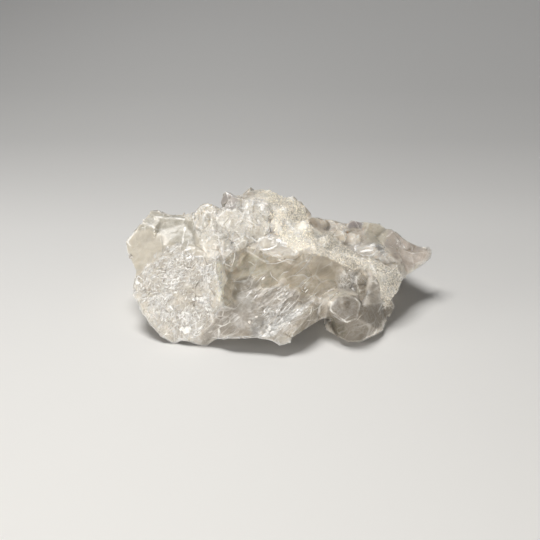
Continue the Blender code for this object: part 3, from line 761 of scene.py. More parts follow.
def raised(points, edge):
    """The skin raised to every cap, and the distances to edges with the caps' own edges."""
    tree = BVHTree.FromPolygons(points.tolist(), triangles.tolist())
    across, up, forward = on_plane(points)
    front = soft_step(corner_normals(points, triangles) @ np.array(TO_EYE), -0.5, -0.1)
    for seed, (middle, half, rise, tilt, planes) in enumerate(CAPS):
        part = np.linspace(-0.6, 0.6, 5)
        near, tall = (grid.ravel() for grid in np.meshgrid(part, part))
        spots, _, found = laid(tree, middle[0] + near * half[0], middle[1] + tall * half[1])
        level = np.mean(on_plane(spots[found])[2])
        x, y = across - middle[0], up - middle[1]
        here = (np.abs(x) < 3.0 * half[0]) & (np.abs(y) < 3.0 * half[1]) & (front > 0.0)
        here &= forward > level - CAP_REACH
        height, own_edge = cap(x[here], y[here], half, rise, tilt, planes, seed)
        now = forward[here]
        new = -rounded_least(-now, -(level + height), CAP_ROUND)
        share = front[here] * soft_step(now, level - CAP_REACH, level - 0.7 * CAP_REACH)
        forward[here] = now + share * np.maximum(new - now, 0.0)
        on_top = level + height > now
        edge[here] = np.where(on_top, own_edge * MM, edge[here])
    return off_plane(across, up, forward), edge


edge = np.where(strongest("lower crystals", "blade", "split ground") > 0.3, NO_EDGE, edge)
points, edge = raised(points, edge)
print("corners near an edge:", int((edge < 0.3 * MM).sum()))

# %% Displace the skin
FIBRE = unit(np.array(off_plane(8.0, 7.0, 0.0) - off_plane(0.0, 0.0, 0.0)))
rock = 1.0 - grown_share
torn = weight["torn face"]
broken = weight["broken face"]
sugar = np.maximum(weight["crust"], weight["rim"])
crumbs = np.clip(weight["lumps"] + weight["ledge"], 0.0, 1.0)
hidden = 1.0 - seen

along_fibre = np.eye(3) - 0.78 * np.outer(FIBRE, FIBRE)
height = broken * (0.36 * chips(points, 3.4 * MM, 1) + 0.14 * chips(points, 1.3 * MM, 2, tilt=1.4))
height += torn * (0.42 * chips(points, 2.0 * MM, 3, along_fibre) + 0.08 * chips(points, 0.9 * MM, 4))
height += sugar * (0.14 * chips(points, 1.1 * MM, 5) + 0.30 * clouds(points, 2.6 * MM, 6))
height += weight["lumps"] * 0.35 * chips(points, 4.6 * MM, 13, tilt=1.6)
height += crumbs * (0.14 * chips(points, 2.2 * MM, 7) + 0.10 * chips(points, 0.9 * MM, 8))
height += hidden * rock * (0.45 * chips(points, 2.8 * MM, 9) + 0.22 * chips(points, 1.3 * MM, 10))
other = np.clip(1.0 - broken - torn - sugar - crumbs - hidden - smooth, 0.0, 1.0)
block = strongest("block top", "left block")
height += other * rock * 0.25 * chips(points, 2.4 * MM, 11) * (1.0 - 0.7 * block)
height += smooth * 0.10 * (clouds(points, 5.0 * MM, 12) - 0.5)
resting = soft_step(points[:, 2], 0.15 * MM, 0.8 * MM)
normals = corner_normals(points, triangles)
points = points + normals * (height * resting * MM)[:, None]
print("moved by up to", round(float(np.abs(height).max()), 2), "mm")

# %% Keep it inside the solid's box
low = np.array(cad_low)
high = np.array(cad_high)
points = np.clip(points, low, high)
print("box of the skin, mm:", [round(float(v) / MM, 1) for v in np.ptp(points, axis=0)])


# %% Ridges and creases
def ridges(points, triangles, sides):
    """How far each corner stands out from the mean of its neighbours along its normal, over
    the mean length of its sides: above 0 on a ridge, below 0 in a crease."""
    length = np.linalg.norm(points[sides[:, 0]] - points[sides[:, 1]], axis=1)
    total = np.bincount(sides.ravel(), np.repeat(length, 2), len(points))
    mean_length = total / np.bincount(sides.ravel(), minlength=len(points))
    out = points - neighbour_mean(points, sides)
    return (out * corner_normals(points, triangles)).sum(axis=1) / mean_length


# the material paints shade into creases from this number
ridge = ridges(points, triangles, sides)
print("ridges:", [round(float(v), 2) for v in np.percentile(ridge, (5, 25, 75, 95))])

# %% [markdown]
# ## What each spot is made of
# One material serves the whole cluster, so it needs to know how milky, how frosted and how
# chipped each spot is, and its tint. These go on the mesh as attributes, one number or colour
# per corner, which the material reads by name.

# %% Finishes by zone
# Tint, then milk: 0 clear, 1 white and above 1 evenly white. Frost: 0 polished, 1 dull. Glint:
# how chipped the finest grain is. Vein: how many fine cracks and fibres run through it.
FINISHES = {
    "body": ((0.72, 0.665, 0.58), 0.70, 0.45, 0.35, 0.40),
    "broken face": ((0.57, 0.526, 0.457), 0.88, 0.20, 0.32, 0.10),
    # side strip: painted light, its tint raised to white because the strip stands in shade
    "side strip": ((1.0, 0.94, 0.8), 0.80, 0.55, 0.05, 0.50),
    "left block": ((0.52, 0.48, 0.405), 0.92, 0.45, 0.06, 0.12),
    "block top": ((0.385, 0.361, 0.304), 1.10, 0.50, 0.12, 0.25),
    "lumps": ((0.665, 0.624, 0.549), 0.94, 0.35, 0.28, 0.20),
    "grey crystal": ((0.45, 0.415, 0.388), 0.92, 0.45, 0.08, 0.20),
    # hollow: painted light, its tint paler where the lumps above shade it
    "hollow": ((0.93, 0.845, 0.685), 0.42, 0.22, 0.10, 0.90),
    "lower face": ((0.36, 0.318, 0.265), 0.75, 0.60, 0.15, 1.00),
    # hollow sill: painted shade, its tint darker where the key lamp reaches the same ground
    "hollow sill": ((0.25, 0.218, 0.167), 0.80, 0.50, 0.08, 0.50),
    "torn face": ((0.36, 0.322, 0.273), 0.90, 0.55, 0.14, 0.90),
    "streak": ((0.66, 0.622, 0.556), 0.98, 0.50, 0.70, 0.50),
    "keel": ((0.345, 0.296, 0.23), 0.75, 0.55, 0.30, 0.80),
    "window": ((0.7, 0.62, 0.493), 0.52, 0.35, 0.14, 0.90),
    "brown heart": ((0.56, 0.49, 0.38), 0.50, 0.45, 0.06, 0.50),
    "ledge": ((0.385, 0.347, 0.293), 0.80, 0.40, 0.60, 0.80),
    "notch": ((0.29, 0.249, 0.191), 0.80, 0.60, 0.10, 0.30),
    "blade": ((0.46, 0.418, 0.358), 0.65, 0.45, 0.25, 0.80),
    # rim: painted light, its tint raised to white because the rim faces away from the key lamp
    "rim": ((1.0, 0.96, 0.86), 1.05, 0.65, 0.38, 0.10),
    "brown crystal": ((0.6, 0.523, 0.428), 0.75, 0.45, 0.36, 0.40),
    "far crystals": ((0.67, 0.601, 0.507), 0.80, 0.45, 0.42, 0.30),
    "purple crystal": ((0.36, 0.327, 0.32), 1.15, 0.50, 0.05, 0.10),
    "green crystal": ((0.6, 0.552, 0.456), 0.78, 0.55, 0.16, 0.20),
    "pink crystal": ((0.54, 0.475, 0.416), 0.75, 0.60, 0.06, 0.30),
    "right end": ((0.57, 0.503, 0.442), 0.80, 0.55, 0.10, 0.40),
    "lower crystals": ((0.235, 0.206, 0.167), 0.82, 0.60, 0.10, 0.30),
    "dark lower facet": ((0.155, 0.133, 0.096), 0.75, 0.60, 0.08, 0.20),
    "crust": ((0.72, 0.679, 0.591), 1.22, 0.60, 0.40, 0.00),
    "crust end": ((0.5, 0.468, 0.403), 1.22, 0.60, 0.45, 0.00),
}

tint = np.tile(np.array(FINISHES["body"][0]), (len(points), 1))
share = np.tile(np.array(FINISHES["body"][1:]), (len(points), 1))
for name in ZONES:
    if name not in FINISHES:
        continue
    part = weight[name][:, None]
    tint += part * (np.array(FINISHES[name][0]) - tint)
    share += part * (np.array(FINISHES[name][1:]) - share)
milk, frost, glint, vein = share.T
# the crystals at the back are clearer and more polished than the rock round them
milk = milk - 0.25 * grown_share * hidden
frost = frost - 0.28 * grown_share * hidden
print("milk from", round(milk.min(), 2), "to", round(milk.max(), 2))


# %% Build the dressed mesh
def mesh_object(name, points, faces, sharp=None):
    """A mesh object at the origin from arrays of corners and faces, smooth-shaded except
    across sides sharper than an angle, or flat-shaded where none is given."""
    mesh = bpy.data.meshes.new(name)
    mesh.from_pydata(points.tolist(), [], faces.tolist())
    mesh.validate()
    if sharp is not None:
        mesh.polygons.foreach_set("use_smooth", np.ones(len(mesh.polygons), bool))
        mesh.set_sharp_from_angle(angle=math.radians(sharp))
    obj = bpy.data.objects.new(name, mesh)
    bpy.context.scene.collection.objects.link(obj)
    return obj


def give_number(obj, name, values):
    """Stores one number per corner under a name that materials can read."""
    layer = obj.data.attributes.new(name, "FLOAT", "POINT")
    layer.data.foreach_set("value", np.ascontiguousarray(values, np.float32))


def give_colour(obj, name, values):
    """Stores one colour per corner under a name that materials can read."""
    layer = obj.data.attributes.new(name, "FLOAT_COLOR", "POINT")
    rgba = np.ones((len(values), 4), np.float32)
    rgba[:, :3] = values
    layer.data.foreach_set("color", rgba.ravel())


cluster = mesh_object("cluster", points, triangles, sharp=24.0)
give_colour(cluster, "tint", np.clip(tint, 0.0, 1.0))
give_number(cluster, "milk", np.clip(milk, 0.0, 1.4))
for name, values in (("frost", frost), ("glint", glint), ("vein", vein)):
    give_number(cluster, name, np.clip(values, 0.0, 1.0))
give_number(cluster, "edge", edge / MM)
give_number(cluster, "ridge", ridge)
print("cluster:", len(cluster.data.polygons), "triangles")

# %% [markdown]
# ## The quartz itself
# Quartz is clear, bends light by 1.54 and takes a little blue and green out of it. What makes
# it milky is millions of tiny hollows. The shader is Principled: a share of transmission
# falls as the milk rises, and the rest scatters. The finest chips, too small for the mesh,
# tilt the normal by a number of each cell's own.

# %% Shader helpers
class Recipe:
    """A node material written step by step. Each step returns the socket that it makes, and
    takes numbers, tuples or earlier sockets."""

    def __init__(self, name):
        """An empty material with its output."""
        self.material = bpy.data.materials.new(name)
        self.material.use_nodes = True
        self.tree = self.material.node_tree
        self.tree.nodes.clear()
        self.output = self.tree.nodes.new("ShaderNodeOutputMaterial")

    def node(self, kind, inputs=None, **settings):
        """Adds a node with its settings, then gives each named or numbered input its value."""
        node = self.tree.nodes.new(kind)
        for key, value in settings.items():
            setattr(node, key, value)
        for key, value in (inputs or {}).items():
            if isinstance(value, bpy.types.NodeSocket):
                self.tree.links.new(value, node.inputs[key])
            else:
                node.inputs[key].default_value = value
        return node

    def place(self):
        """The spot, in the object's own metres."""
        return self.node("ShaderNodeTexCoord").outputs["Object"]

    def attribute(self, name, output="Fac"):
        """A number or colour that the mesh carries under a name."""
        return self.node("ShaderNodeAttribute", attribute_name=name).outputs[output]

    def math(self, operation, first, second=0.0):
        """The sum, product or the like of two numbers."""
        return self.node("ShaderNodeMath", {0: first, 1: second}, operation=operation).outputs[0]

    def vector(self, operation, first, second=(0.0, 0.0, 0.0)):
        """The sum, difference or the like of two vectors."""
        return self.node("ShaderNodeVectorMath", {0: first, 1: second}, operation=operation).outputs[0]

    def scaled(self, vector, factor):
        """A vector times a number."""
        inputs = {0: vector, "Scale": factor}
        return self.node("ShaderNodeVectorMath", inputs, operation="SCALE").outputs[0]

    def ramp(self, value, low, high, to_low=0.0, to_high=1.0):
        """A straight line from one range to another, held at its ends."""
        inputs = {"Value": value, "From Min": low, "From Max": high, "To Min": to_low, "To Max": to_high}
        return self.node("ShaderNodeMapRange", inputs).outputs[0]

    def mix(self, share, first, second):
        """Mixes two colours by a share."""
        inputs = {0: share, 6: first, 7: second}
        return self.node("ShaderNodeMix", inputs, data_type="RGBA").outputs[2]

    def clouds(self, place, scale, detail=2.0, rough=0.5, output="Fac"):
        """Smooth noise with finer layers added, each weaker than the last."""
        inputs = {"Vector": place, "Scale": scale, "Detail": detail, "Roughness": rough}
        return self.node("ShaderNodeTexNoise", inputs).outputs[output]

    def pressed(self, place, direction, share):
        """A place with part of its way along a direction taken out, which draws a pattern out
        along that direction."""
        along = self.node("ShaderNodeVectorMath", {0: place, 1: direction}, operation="DOT_PRODUCT")
        back = self.scaled(direction, self.math("MULTIPLY", along.outputs[1], share))
        return self.vector("SUBTRACT", place, back)

    def cells(self, place, scale, output="Color", **settings):
        """Noise of cells: what belongs to the scattered point nearest to a place."""
        inputs = {"Vector": place, "Scale": scale}
        return self.node("ShaderNodeTexVoronoi", inputs, **settings).outputs[output]

    def bent(self, place, scale, reach):
        """A place pushed about by smooth noise, which bends straight cells into shards."""
        push = self.vector("SUBTRACT", self.clouds(place, scale, output="Color"), (0.5, 0.5, 0.5))
        return self.vector("ADD", place, self.scaled(push, reach))

    def finish(self, surface, volume=None):
        """Joins the surface, and the volume if there is one, to the output."""
        self.tree.links.new(surface, self.output.inputs["Surface"])
        if volume is not None:
            self.tree.links.new(volume, self.output.inputs["Volume"])
        return self.material


print("a recipe's steps:", [name for name in vars(Recipe) if name[0] != "_"])


# %% Strokes and cracks
WHITE = (1.0, 0.98, 0.94, 1.0)


def chip_strokes(quartz, place, own, scale, low, high):
    """Hackles: smooth noise drawn out along a direction that each chip has of its own."""
    direction = quartz.vector("NORMALIZE", quartz.vector("SUBTRACT", own, (0.5, 0.5, 0.5)))
    drawn = quartz.pressed(place, direction, 0.84)
    return quartz.ramp(quartz.clouds(drawn, scale, 2.0, 0.6), low, high)


def hairlines(quartz, place, scale, width, low, high):
    """Broken bright lines: the rims of cells, thinner than a width, where smooth noise is
    high."""
    gap = quartz.cells(place, scale, "Distance", feature="DISTANCE_TO_EDGE")
    line = quartz.ramp(gap, 0.4 * width, width, 1.0, 0.0)
    return quartz.math("MULTIPLY", line, quartz.ramp(quartz.clouds(place, 0.55 * scale), low, high))


def most(quartz, first, *others):
    """The largest of several numbers."""
    for other in others:
        first = quartz.math("MAXIMUM", first, other)
    return first


# %% What is white: chips, cracks, painted glints and edge highlights
def bruise_white_and_glints(quartz, place, bent, chip, small_chip):
    """White on chipped ground: hackles on each chip, rims of chips, patches and ridges; partly the white
    of bruised quartz, partly painted glints.
    """
    hackles = most(quartz,
        chip_strokes(quartz, place, chip, 1500.0, 0.52, 0.62),
        chip_strokes(quartz, place, small_chip, 2300.0, 0.54, 0.64))
    bruise_and_glint_share = quartz.ramp(quartz.clouds(place, 170.0, 3.0), 0.36, 0.56, 0.25, 1.0)
    rims = hairlines(quartz, bent, 330.0, 0.07, 0.44, 0.56)
    patches = quartz.ramp(quartz.clouds(bent, 260.0, 3.0), 0.64, 0.69)
    crests = quartz.ramp(quartz.attribute("ridge"), 0.08, 0.30)
    return most(quartz, quartz.math("MULTIPLY", hackles, bruise_and_glint_share), rims, patches, crests)


def cracked_white(quartz, place, drawn):
    """Cracks in long arcs at two sizes, and fibres."""
    arched = quartz.bent(place, 90.0, 6.0 * MM)
    cracks = most(quartz,
        hairlines(quartz, quartz.pressed(arched, FIBRE, 0.5), 170.0, 0.035, 0.52, 0.62),
        hairlines(quartz, quartz.pressed(arched, FIBRE, 0.7), 330.0, 0.06, 0.52, 0.62))
    fibres = quartz.ramp(quartz.clouds(drawn, 1100.0, 3.0, 0.6), 0.52, 0.68, 0.0, 0.45)
    return most(quartz, quartz.math("MULTIPLY", cracks, 0.75), fibres)


def edge_highlight(quartz, place):
    """A painted highlight: a thin bright line along crystal edges, where they catch the light, broken by
    smooth noise.
    """
    edge = quartz.ramp(quartz.attribute("edge"), 0.10, 0.34, 0.75, 0.0)
    broken_up = quartz.ramp(quartz.clouds(place, 400.0), 0.40, 0.60, 0.1, 0.9)
    return quartz.math("MULTIPLY", edge, broken_up)


print("white marks: chips, cracks and edges")


# %% What is dark, with painted shade in creases, and how the chips tilt
def stone_shade(quartz, place, drawn, chip_value, small_value):
    """Each chip has a tone of its own; fibres and broad clouds are darker, and creases are darkened as
    painted shade.
    """
    tone = quartz.math("ADD",
        quartz.math("MULTIPLY", quartz.math("SUBTRACT", chip_value, 0.5), 0.22),
        quartz.math("MULTIPLY", quartz.math("SUBTRACT", small_value, 0.5), 0.16))
    tone = quartz.math("MULTIPLY", tone, quartz.ramp(quartz.attribute("glint"), 0.0, 0.5, 0.3, 1.0))
    broad = quartz.ramp(quartz.clouds(place, 190.0, 4.0, 0.6), 0.3, 0.7, 0.90, 1.06)
    # painted shade: the colour darkens in creases, where shade would fall
    crease_shade = quartz.ramp(quartz.attribute("ridge"), -0.30, -0.05, 0.72, 1.0)
    dark = quartz.ramp(quartz.clouds(drawn, 700.0, 3.0, 0.6), 0.36, 0.50, 0.16, 0.0)
    shade = quartz.math("ADD", quartz.math("MULTIPLY", crease_shade, broad), tone)
    return quartz.math("SUBTRACT", shade, quartz.math("MULTIPLY", dark, quartz.attribute("vein")))


def chipped_normal(quartz, bent, chip, small_chip):
    """The normal plus a step of each cell's own at three sizes, times the glint."""
    half = (0.5, 0.5, 0.5)
    coarse = quartz.scaled(quartz.vector("SUBTRACT", chip, half), 0.6)
    middling = quartz.scaled(quartz.vector("SUBTRACT", small_chip, half), 0.9)
    fine = quartz.scaled(quartz.vector("SUBTRACT", quartz.cells(bent, 2200.0), half), 0.4)
    tilt = quartz.vector("ADD", quartz.vector("ADD", coarse, middling), fine)
    normal = quartz.node("ShaderNodeNewGeometry").outputs["Normal"]
    tilt = quartz.scaled(tilt, quartz.attribute("glint"))
    return quartz.vector("NORMALIZE", quartz.vector("ADD", normal, tilt))


print("dark marks: creases, fibres and broad clouds")


# %% Quartz
def quartz_material(name, glow):
    """Principled: tinted, with white marks that are partly painted glints and edge highlights,
    painted shade in creases, transmission that falls as milk rises, a fine chipped normal and
    a plain absorbing volume. Glow is how much of the light goes in and comes out elsewhere,
    which is little in a grain."""
    quartz = Recipe(name)
    place = quartz.place()
    bent = quartz.bent(place, 420.0, 3.0 * MM)
    drawn = quartz.pressed(quartz.bent(place, 200.0, 2.5 * MM), FIBRE, 0.86)
    chip = quartz.cells(bent, 330.0)
    small_chip = quartz.cells(bent, 800.0)
    chip_value = quartz.node("ShaderNodeSeparateColor", {0: chip}).outputs[0]
    small_value = quartz.node("ShaderNodeSeparateColor", {0: small_chip}).outputs[0]

    # milk comes in clouds
    swing = quartz.math("SUBTRACT", quartz.clouds(place, 330.0, 4.0, 0.62), 0.5)
    milk = quartz.math("ADD", quartz.attribute("milk"), quartz.math("MULTIPLY", swing, 0.6))

    # partly the white of bruised quartz, partly painted glints
    chipped = bruise_white_and_glints(quartz, place, bent, chip, small_chip)
    chipped = quartz.math("MULTIPLY", chipped, quartz.attribute("glint"))
    cracks = cracked_white(quartz, place, drawn)
    cracks = quartz.math("MULTIPLY", cracks, quartz.attribute("vein"))
    white = most(quartz, chipped, cracks, edge_highlight(quartz, place))
    shade = stone_shade(quartz, place, drawn, chip_value, small_value)
    stone = quartz.scaled(quartz.attribute("tint", "Color"), shade)

    shader = quartz.node(
        "ShaderNodeBsdfPrincipled",
        {
            "Base Color": quartz.mix(white, stone, WHITE),
            "Roughness": quartz.ramp(quartz.attribute("frost"), 0.0, 1.0, 0.06, 0.65),
            "Transmission Weight": quartz.ramp(milk, 0.1, 1.0, 0.95, 0.0),
            "Normal": chipped_normal(quartz, bent, chip, small_chip),
            "IOR": 1.54,
            "Subsurface Weight": glow,
            "Subsurface Radius": (1.0, 0.92, 0.80),
            "Subsurface Scale": 4.0 * MM,
        },
    )
    volume = quartz.node(
        "ShaderNodeVolumeAbsorption", {"Color": (0.80, 0.72, 0.60, 1.0), "Density": 14.0}
    )
    return quartz.finish(shader.outputs[0], volume.outputs[0])


cluster.data.materials.append(quartz_material("quartz", 0.75))
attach(cluster, "root")
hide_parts(NODE)
print("quartz:", len(cluster.data.materials[0].node_tree.nodes), "nodes")

# %% [markdown]
# ## Grains and small crystals
# The crust is sugar: thousands of quartz grains up to half a millimetre wide. Between the large
# crystals small ones have sprouted. Particles would scatter them, but those are instances
# that few programs keep. Here each set is one mesh: one grain's corners are turned, scaled
# and moved as a whole array, once for each place.

# %% One grain
GRAIN_SIDES = 6


def grain_shape(waist, tip):
    """A six-sided prism from -waist to waist with a point at each end: rings of corners on a
    circle, and two tips. Its 14 corners carry 24 triangles."""
    turn = np.arange(GRAIN_SIDES) * 2.0 * math.pi / GRAIN_SIDES
    ring = np.stack([np.cos(turn), np.sin(turn), np.zeros(GRAIN_SIDES)], axis=1)
    corners = np.vstack([ring + (0, 0, -waist), ring + (0, 0, waist), [(0, 0, -tip), (0, 0, tip)]])
    here = np.arange(GRAIN_SIDES)
    after = (here + 1) % GRAIN_SIDES
    over, over_after = here + GRAIN_SIDES, after + GRAIN_SIDES
    bottom, top = 2 * GRAIN_SIDES, 2 * GRAIN_SIDES + 1
    faces = [
        np.stack([here, after, over_after], axis=1),
        np.stack([here, over_after, over], axis=1),
        np.stack([over, over_after, np.full(GRAIN_SIDES, top)], axis=1),
        np.stack([after, here, np.full(GRAIN_SIDES, bottom)], axis=1),
    ]
    return corners, np.vstack(faces)


print("one grain:", len(grain_shape(0.5, 1.2)[1]), "triangles")


# %% How a set of grains is laid out
def scattered(chance, count, seed):
    """Places on the skin: triangles drawn by area times chance, and a random spot in each."""
    random = np.random.default_rng(seed)
    area = np.linalg.norm(face_normals(points, triangles), axis=1)
    odds = area * chance[triangles].mean(axis=1)
    drawn = random.choice(len(triangles), count, p=odds / odds.sum())
    share = random.dirichlet((1.0, 1.0, 1.0), count)
    places = (points[triangles[drawn]] * share[:, :, None]).sum(axis=1)
    outward = unit(face_normals(points, triangles)[drawn])
    return places, outward, triangles[drawn, 0], random


def frames(axis, random):
    """Three directions at right angles for each axis, turned about it by chance."""
    other = unit(np.cross(axis, random.normal(size=axis.shape)))
    return np.stack([other, np.cross(axis, other), axis], axis=1)


def copies(shape, faces, places, frame, sizes):
    """One array of corners and faces: the shape scaled by each size, turned by each frame and
    moved to each place. Copies that would leave the solid's box are left out."""
    corners = (shape[None] * sizes[:, None, :]) @ frame + places[:, None, :]
    inside = ((corners >= low) & (corners <= high)).all(axis=(1, 2))
    corners = corners[inside]
    start = np.arange(len(corners))[:, None, None] * len(shape)
    return corners.reshape(-1, 3), (faces[None] + start).reshape(-1, 3), inside


def finish_small(obj, at, lift, shares):
    """Gives a set of small pieces the tint of the skin under them, lifted, and its own shares
    of milk, frost, glint and vein, and the quartz."""
    pale = tint[at] + 0.3 * (np.array(WHITE[:3]) - tint[at])
    give_colour(obj, "tint", np.clip(pale * lift, 0.0, 1.0))
    for name, values in zip(("milk", "frost", "glint", "vein"), shares):
        give_number(obj, name, np.broadcast_to(values, len(at)))
    give_number(obj, "edge", np.full(len(at), NO_EDGE / MM))
    give_number(obj, "ridge", np.zeros(len(at)))
    obj.data.materials.append(small_quartz)
    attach(obj, "root")


print("small pieces stay inside, mm:", [round(float(v) / MM, 1) for v in high - low])


# %% Sugar on the crust
SUGAR_GRAINS = 4500
small_quartz = quartz_material("small_quartz", 0.0)


def crust_sugar():
    """Grains a fifth to half a millimetre wide, half sunk, each turned at random."""
    chance = np.maximum(weight["crust"], 0.8 * weight["rim"])
    chance = chance * soft_step(clouds(points, 3.0 * MM, 31), 0.15, 0.55)
    places, outward, corner, random = scattered(chance, SUGAR_GRAINS, 32)
    width = 0.10 + 0.17 * random.random(SUGAR_GRAINS) ** 2
    sizes = np.stack([width, width * random.uniform(0.6, 1.0, SUGAR_GRAINS), width], axis=1) * MM
    frame = frames(unit(outward * 0.3 + random.normal(size=outward.shape)), random)
    shape, faces = grain_shape(0.5, 1.2)
    corners, faces, inside = copies(shape, faces, places, frame, sizes)
    sugar = mesh_object("crust_sugar", corners, faces)
    at = np.repeat(corner[inside], len(shape))
    milk = np.repeat(random.uniform(1.3, 1.6, inside.sum()), len(shape))
    lift = np.repeat(random.uniform(0.95, 1.25, inside.sum()), len(shape))[:, None] * (1.05, 1.02, 0.97)
    finish_small(sugar, at, lift, (milk, 0.45, 0.0, 0.0))
    return sugar


print("sugar:", len(crust_sugar().data.polygons), "triangles")


# %% Small crystals between the large ones
SMALL_CRYSTALS = 1600


def small_crystals():
    """Six-sided points up to two millimetres long that lean away from the skin by chance, in
    patches on the sides that face away from the front."""
    above = soft_step(points[:, 2], 5.0 * MM, 9.0 * MM)
    turned_away = soft_step(-(corner_normals(points, triangles) @ np.array(TO_EYE)), 0.45, 0.75)
    chance = turned_away * above * soft_step(clouds(points, 6.0 * MM, 41), 0.45, 0.62)
    places, outward, corner, random = scattered(chance, SMALL_CRYSTALS, 42)
    radius = 0.16 + 0.50 * random.random(SMALL_CRYSTALS) ** 3
    length = radius * random.uniform(1.5, 2.6, SMALL_CRYSTALS)
    sizes = np.stack([radius, radius * random.uniform(0.75, 1.0, SMALL_CRYSTALS), length], axis=1) * MM
    frame = frames(unit(outward + 0.45 * random.normal(size=outward.shape)), random)
    shape, faces = grain_shape(0.75, 1.2)
    corners, faces, inside = copies(shape, faces, places, frame, sizes)
    sprouts = mesh_object("small_crystals", corners, faces)
    at = np.repeat(corner[inside], len(shape))
    milk = np.repeat(random.uniform(0.6, 1.3, inside.sum()), len(shape))
    lift = np.repeat(random.uniform(0.70, 1.10, inside.sum()), len(shape))[:, None]
    finish_small(sprouts, at, lift, (milk, 0.25, 0.10, 0.2))
    return sprouts


print("small crystals:", len(small_crystals().data.polygons), "triangles")

# %% [markdown]
# ## Painted flashes along cracks and lips
# Where a crack comes to the surface, or a shell-shaped break ends in a lip, light flashes
# on it. Each flash is painted as a sliver of white stone, part crack line and part painted
# highlight. Each sliver is a line of a few points on the leaning plane and a width. It is laid
# on the skin along the line of sight, and is a thin four-sided blade that tapers to both ends.

# %% The slivers: lines in millimetres across and up, and widths
HIGHLIGHT_SLIVERS = [
    # the hollow: the upper lip with its flash, the lower lip, and cracks
    (0.75, (-6.4, 6.2), (-4.6, 6.2), (-2.9, 6.4), (-0.7, 7.5)),
    (0.30, (-7.5, 7.0), (-5.6, 9.6), (-2.9, 11.1), (-0.7, 10.8)),
    (0.22, (-8.8, 4.4), (-7.5, 6.4), (-6.2, 8.3)),
    (1.70, (-1.0, 9.3), (0.7, 8.8), (2.6, 8.0)),
    (0.45, (0.0, 7.4), (1.3, 7.5), (2.8, 7.0)),
    (0.55, (-2.3, 3.9), (-0.7, 4.6), (1.0, 3.9)),
    (0.35, (-4.2, 1.6), (-1.0, 1.6), (1.0, 2.3), (2.9, 3.1), (5.2, 2.6)),
    (0.35, (-18.6, 3.1), (-17.3, 1.3), (-15.5, 0.6)),
    (0.40, (-15.5, 0.6), (-14.7, 2.8), (-14.4, 5.4)),
    (0.16, (6.5, 0.8), (8.8, 3.1), (11.1, 5.1)),
    (0.28, (0.7, -2.1), (1.6, -1.3), (3.1, -1.0)),
    (0.26, (-2.9, -1.0), (-2.4, -2.5), (0.0, -4.4)),
    (0.24, (-7.7, -5.0), (-5.9, -3.0), (-4.7, -2.0)),
    (0.55, (-5.7, -3.8), (-5.2, -3.3), (-4.6, -2.8)),
    (0.42, (-10.9, -9.6), (-10.0, -8.5), (-8.9, -7.2)),
    (0.18, (-15.9, -4.4), (-12.9, -4.2), (-10.1, -3.8)),
    (0.24, (-10.1, 2.3), (-9.2, 2.0), (-7.9, 1.0)),
    (0.14, (-9.9, 2.0), (-9.7, -0.2), (-9.9, -4.0)),
    (0.20, (11.1, 4.8), (8.6, 0.8), (5.1, -2.2)),
    # the lower edge of the front
    (0.22, (-20.3, -22.7), (-17.0, -22.2), (-14.4, -22.5), (-11.0, -22.2), (-7.0, -22.6), (-2.6, -22.5)),
    (1.40, (-5.6, -22.3), (-3.6, -21.0), (-2.9, -18.6)),
    # behind the crust
    (0.80, (21.5, 10.2), (22.1, 10.1)),
    (0.90, (25.0, 7.7), (25.0, 5.7)),
    (0.40, (25.5, 5.4), (27.8, 4.1), (30.4, 4.4), (32.4, 6.0)),
    (0.40, (25.8, 6.4), (28.4, 7.2), (31.7, 7.2)),
    (0.90, (26.5, 5.4), (28.8, 5.9), (30.7, 6.0)),
    (0.70, (29.7, 7.7), (31.4, 7.7)),
    # the lower crystal's edge
    (0.20, (17.6, -15.2), (20.6, -17.2), (24.2, -14.9)),
    # bright scales on the broken face, painted highlights
    (2.20, (-32.4, -19.8), (-30.7, -20.4), (-28.8, -19.4)),
    (1.50, (-31.9, -19.1), (-30.7, -21.2)),
    (1.40, (-28.4, -10.1), (-26.5, -9.8), (-24.7, -10.5)),
    (0.90, (-33.3, -3.8), (-32.4, -2.5)),
    (0.55, (-36.6, -11.8), (-35.6, -12.4), (-34.5, -13.7)),
    (0.70, (-31.0, -14.2), (-29.4, -14.9)),
    (0.55, (-24.2, -12.6), (-23.2, -13.9)),
    (0.60, (-23.9, 0.8), (-21.9, 1.5)),
    # lumps and the block
    (2.40, (-7.2, 22.7), (-6.2, 21.1), (-5.2, 19.1)),
    (0.35, (-18.3, 18.8), (-15.7, 20.4), (-13.1, 21.7)),
    (0.35, (-25.6, 19.8), (-25.5, 17.7), (-27.5, 14.9), (-27.9, 13.0), (-25.6, 11.9)),
    (0.30, (-25.6, 11.9), (-22.8, 12.6), (-20.0, 12.4)),
    (0.45, (-20.0, 12.4), (-19.7, 9.3), (-19.1, 7.0), (-18.3, 5.1), (-20.9, 3.2), (-22.3, 3.7)),
    (0.30, (-13.0, 21.7), (-12.7, 19.6), (-14.8, 18.7), (-19.1, 19.6)),
    (0.35, (-14.8, 11.6), (-11.3, 11.4), (-11.6, 10.3), (-13.9, 9.3), (-14.2, 7.7), (-16.2, 7.0)),
    (0.22, (-10.7, 10.7), (-8.8, 9.8), (-6.4, 10.0)),
    (0.50, (-13.0, 18.7), (-11.6, 17.7), (-12.1, 16.3)),
    (1.10, (-7.0, 16.2), (-6.7, 15.4), (-6.3, 14.4)),
    (0.40, (-20.6, 5.7), (-18.6, 4.7), (-18.5, 7.0), (-19.6, 9.3)),
    (0.30, (-37.3, 18.1), (-35.0, 16.8), (-31.4, 16.8), (-27.5, 18.1)),
    (0.14, (-38.4, 10.6), (-38.2, 7.4), (-37.9, 4.7)),
    (0.22, (-45.4, 15.8), (-42.8, 13.6), (-38.9, 12.6)),
]
print("slivers:", len(HIGHLIGHT_SLIVERS))


# %% A sliver laid on the skin
SLIVER_STEP = 0.30  # millimetres between the rings of a sliver
SLIVER_RISE = 0.10 * MM  # how far its top stands off the skin
skin_tree = BVHTree.FromPolygons(points.tolist(), triangles.tolist())


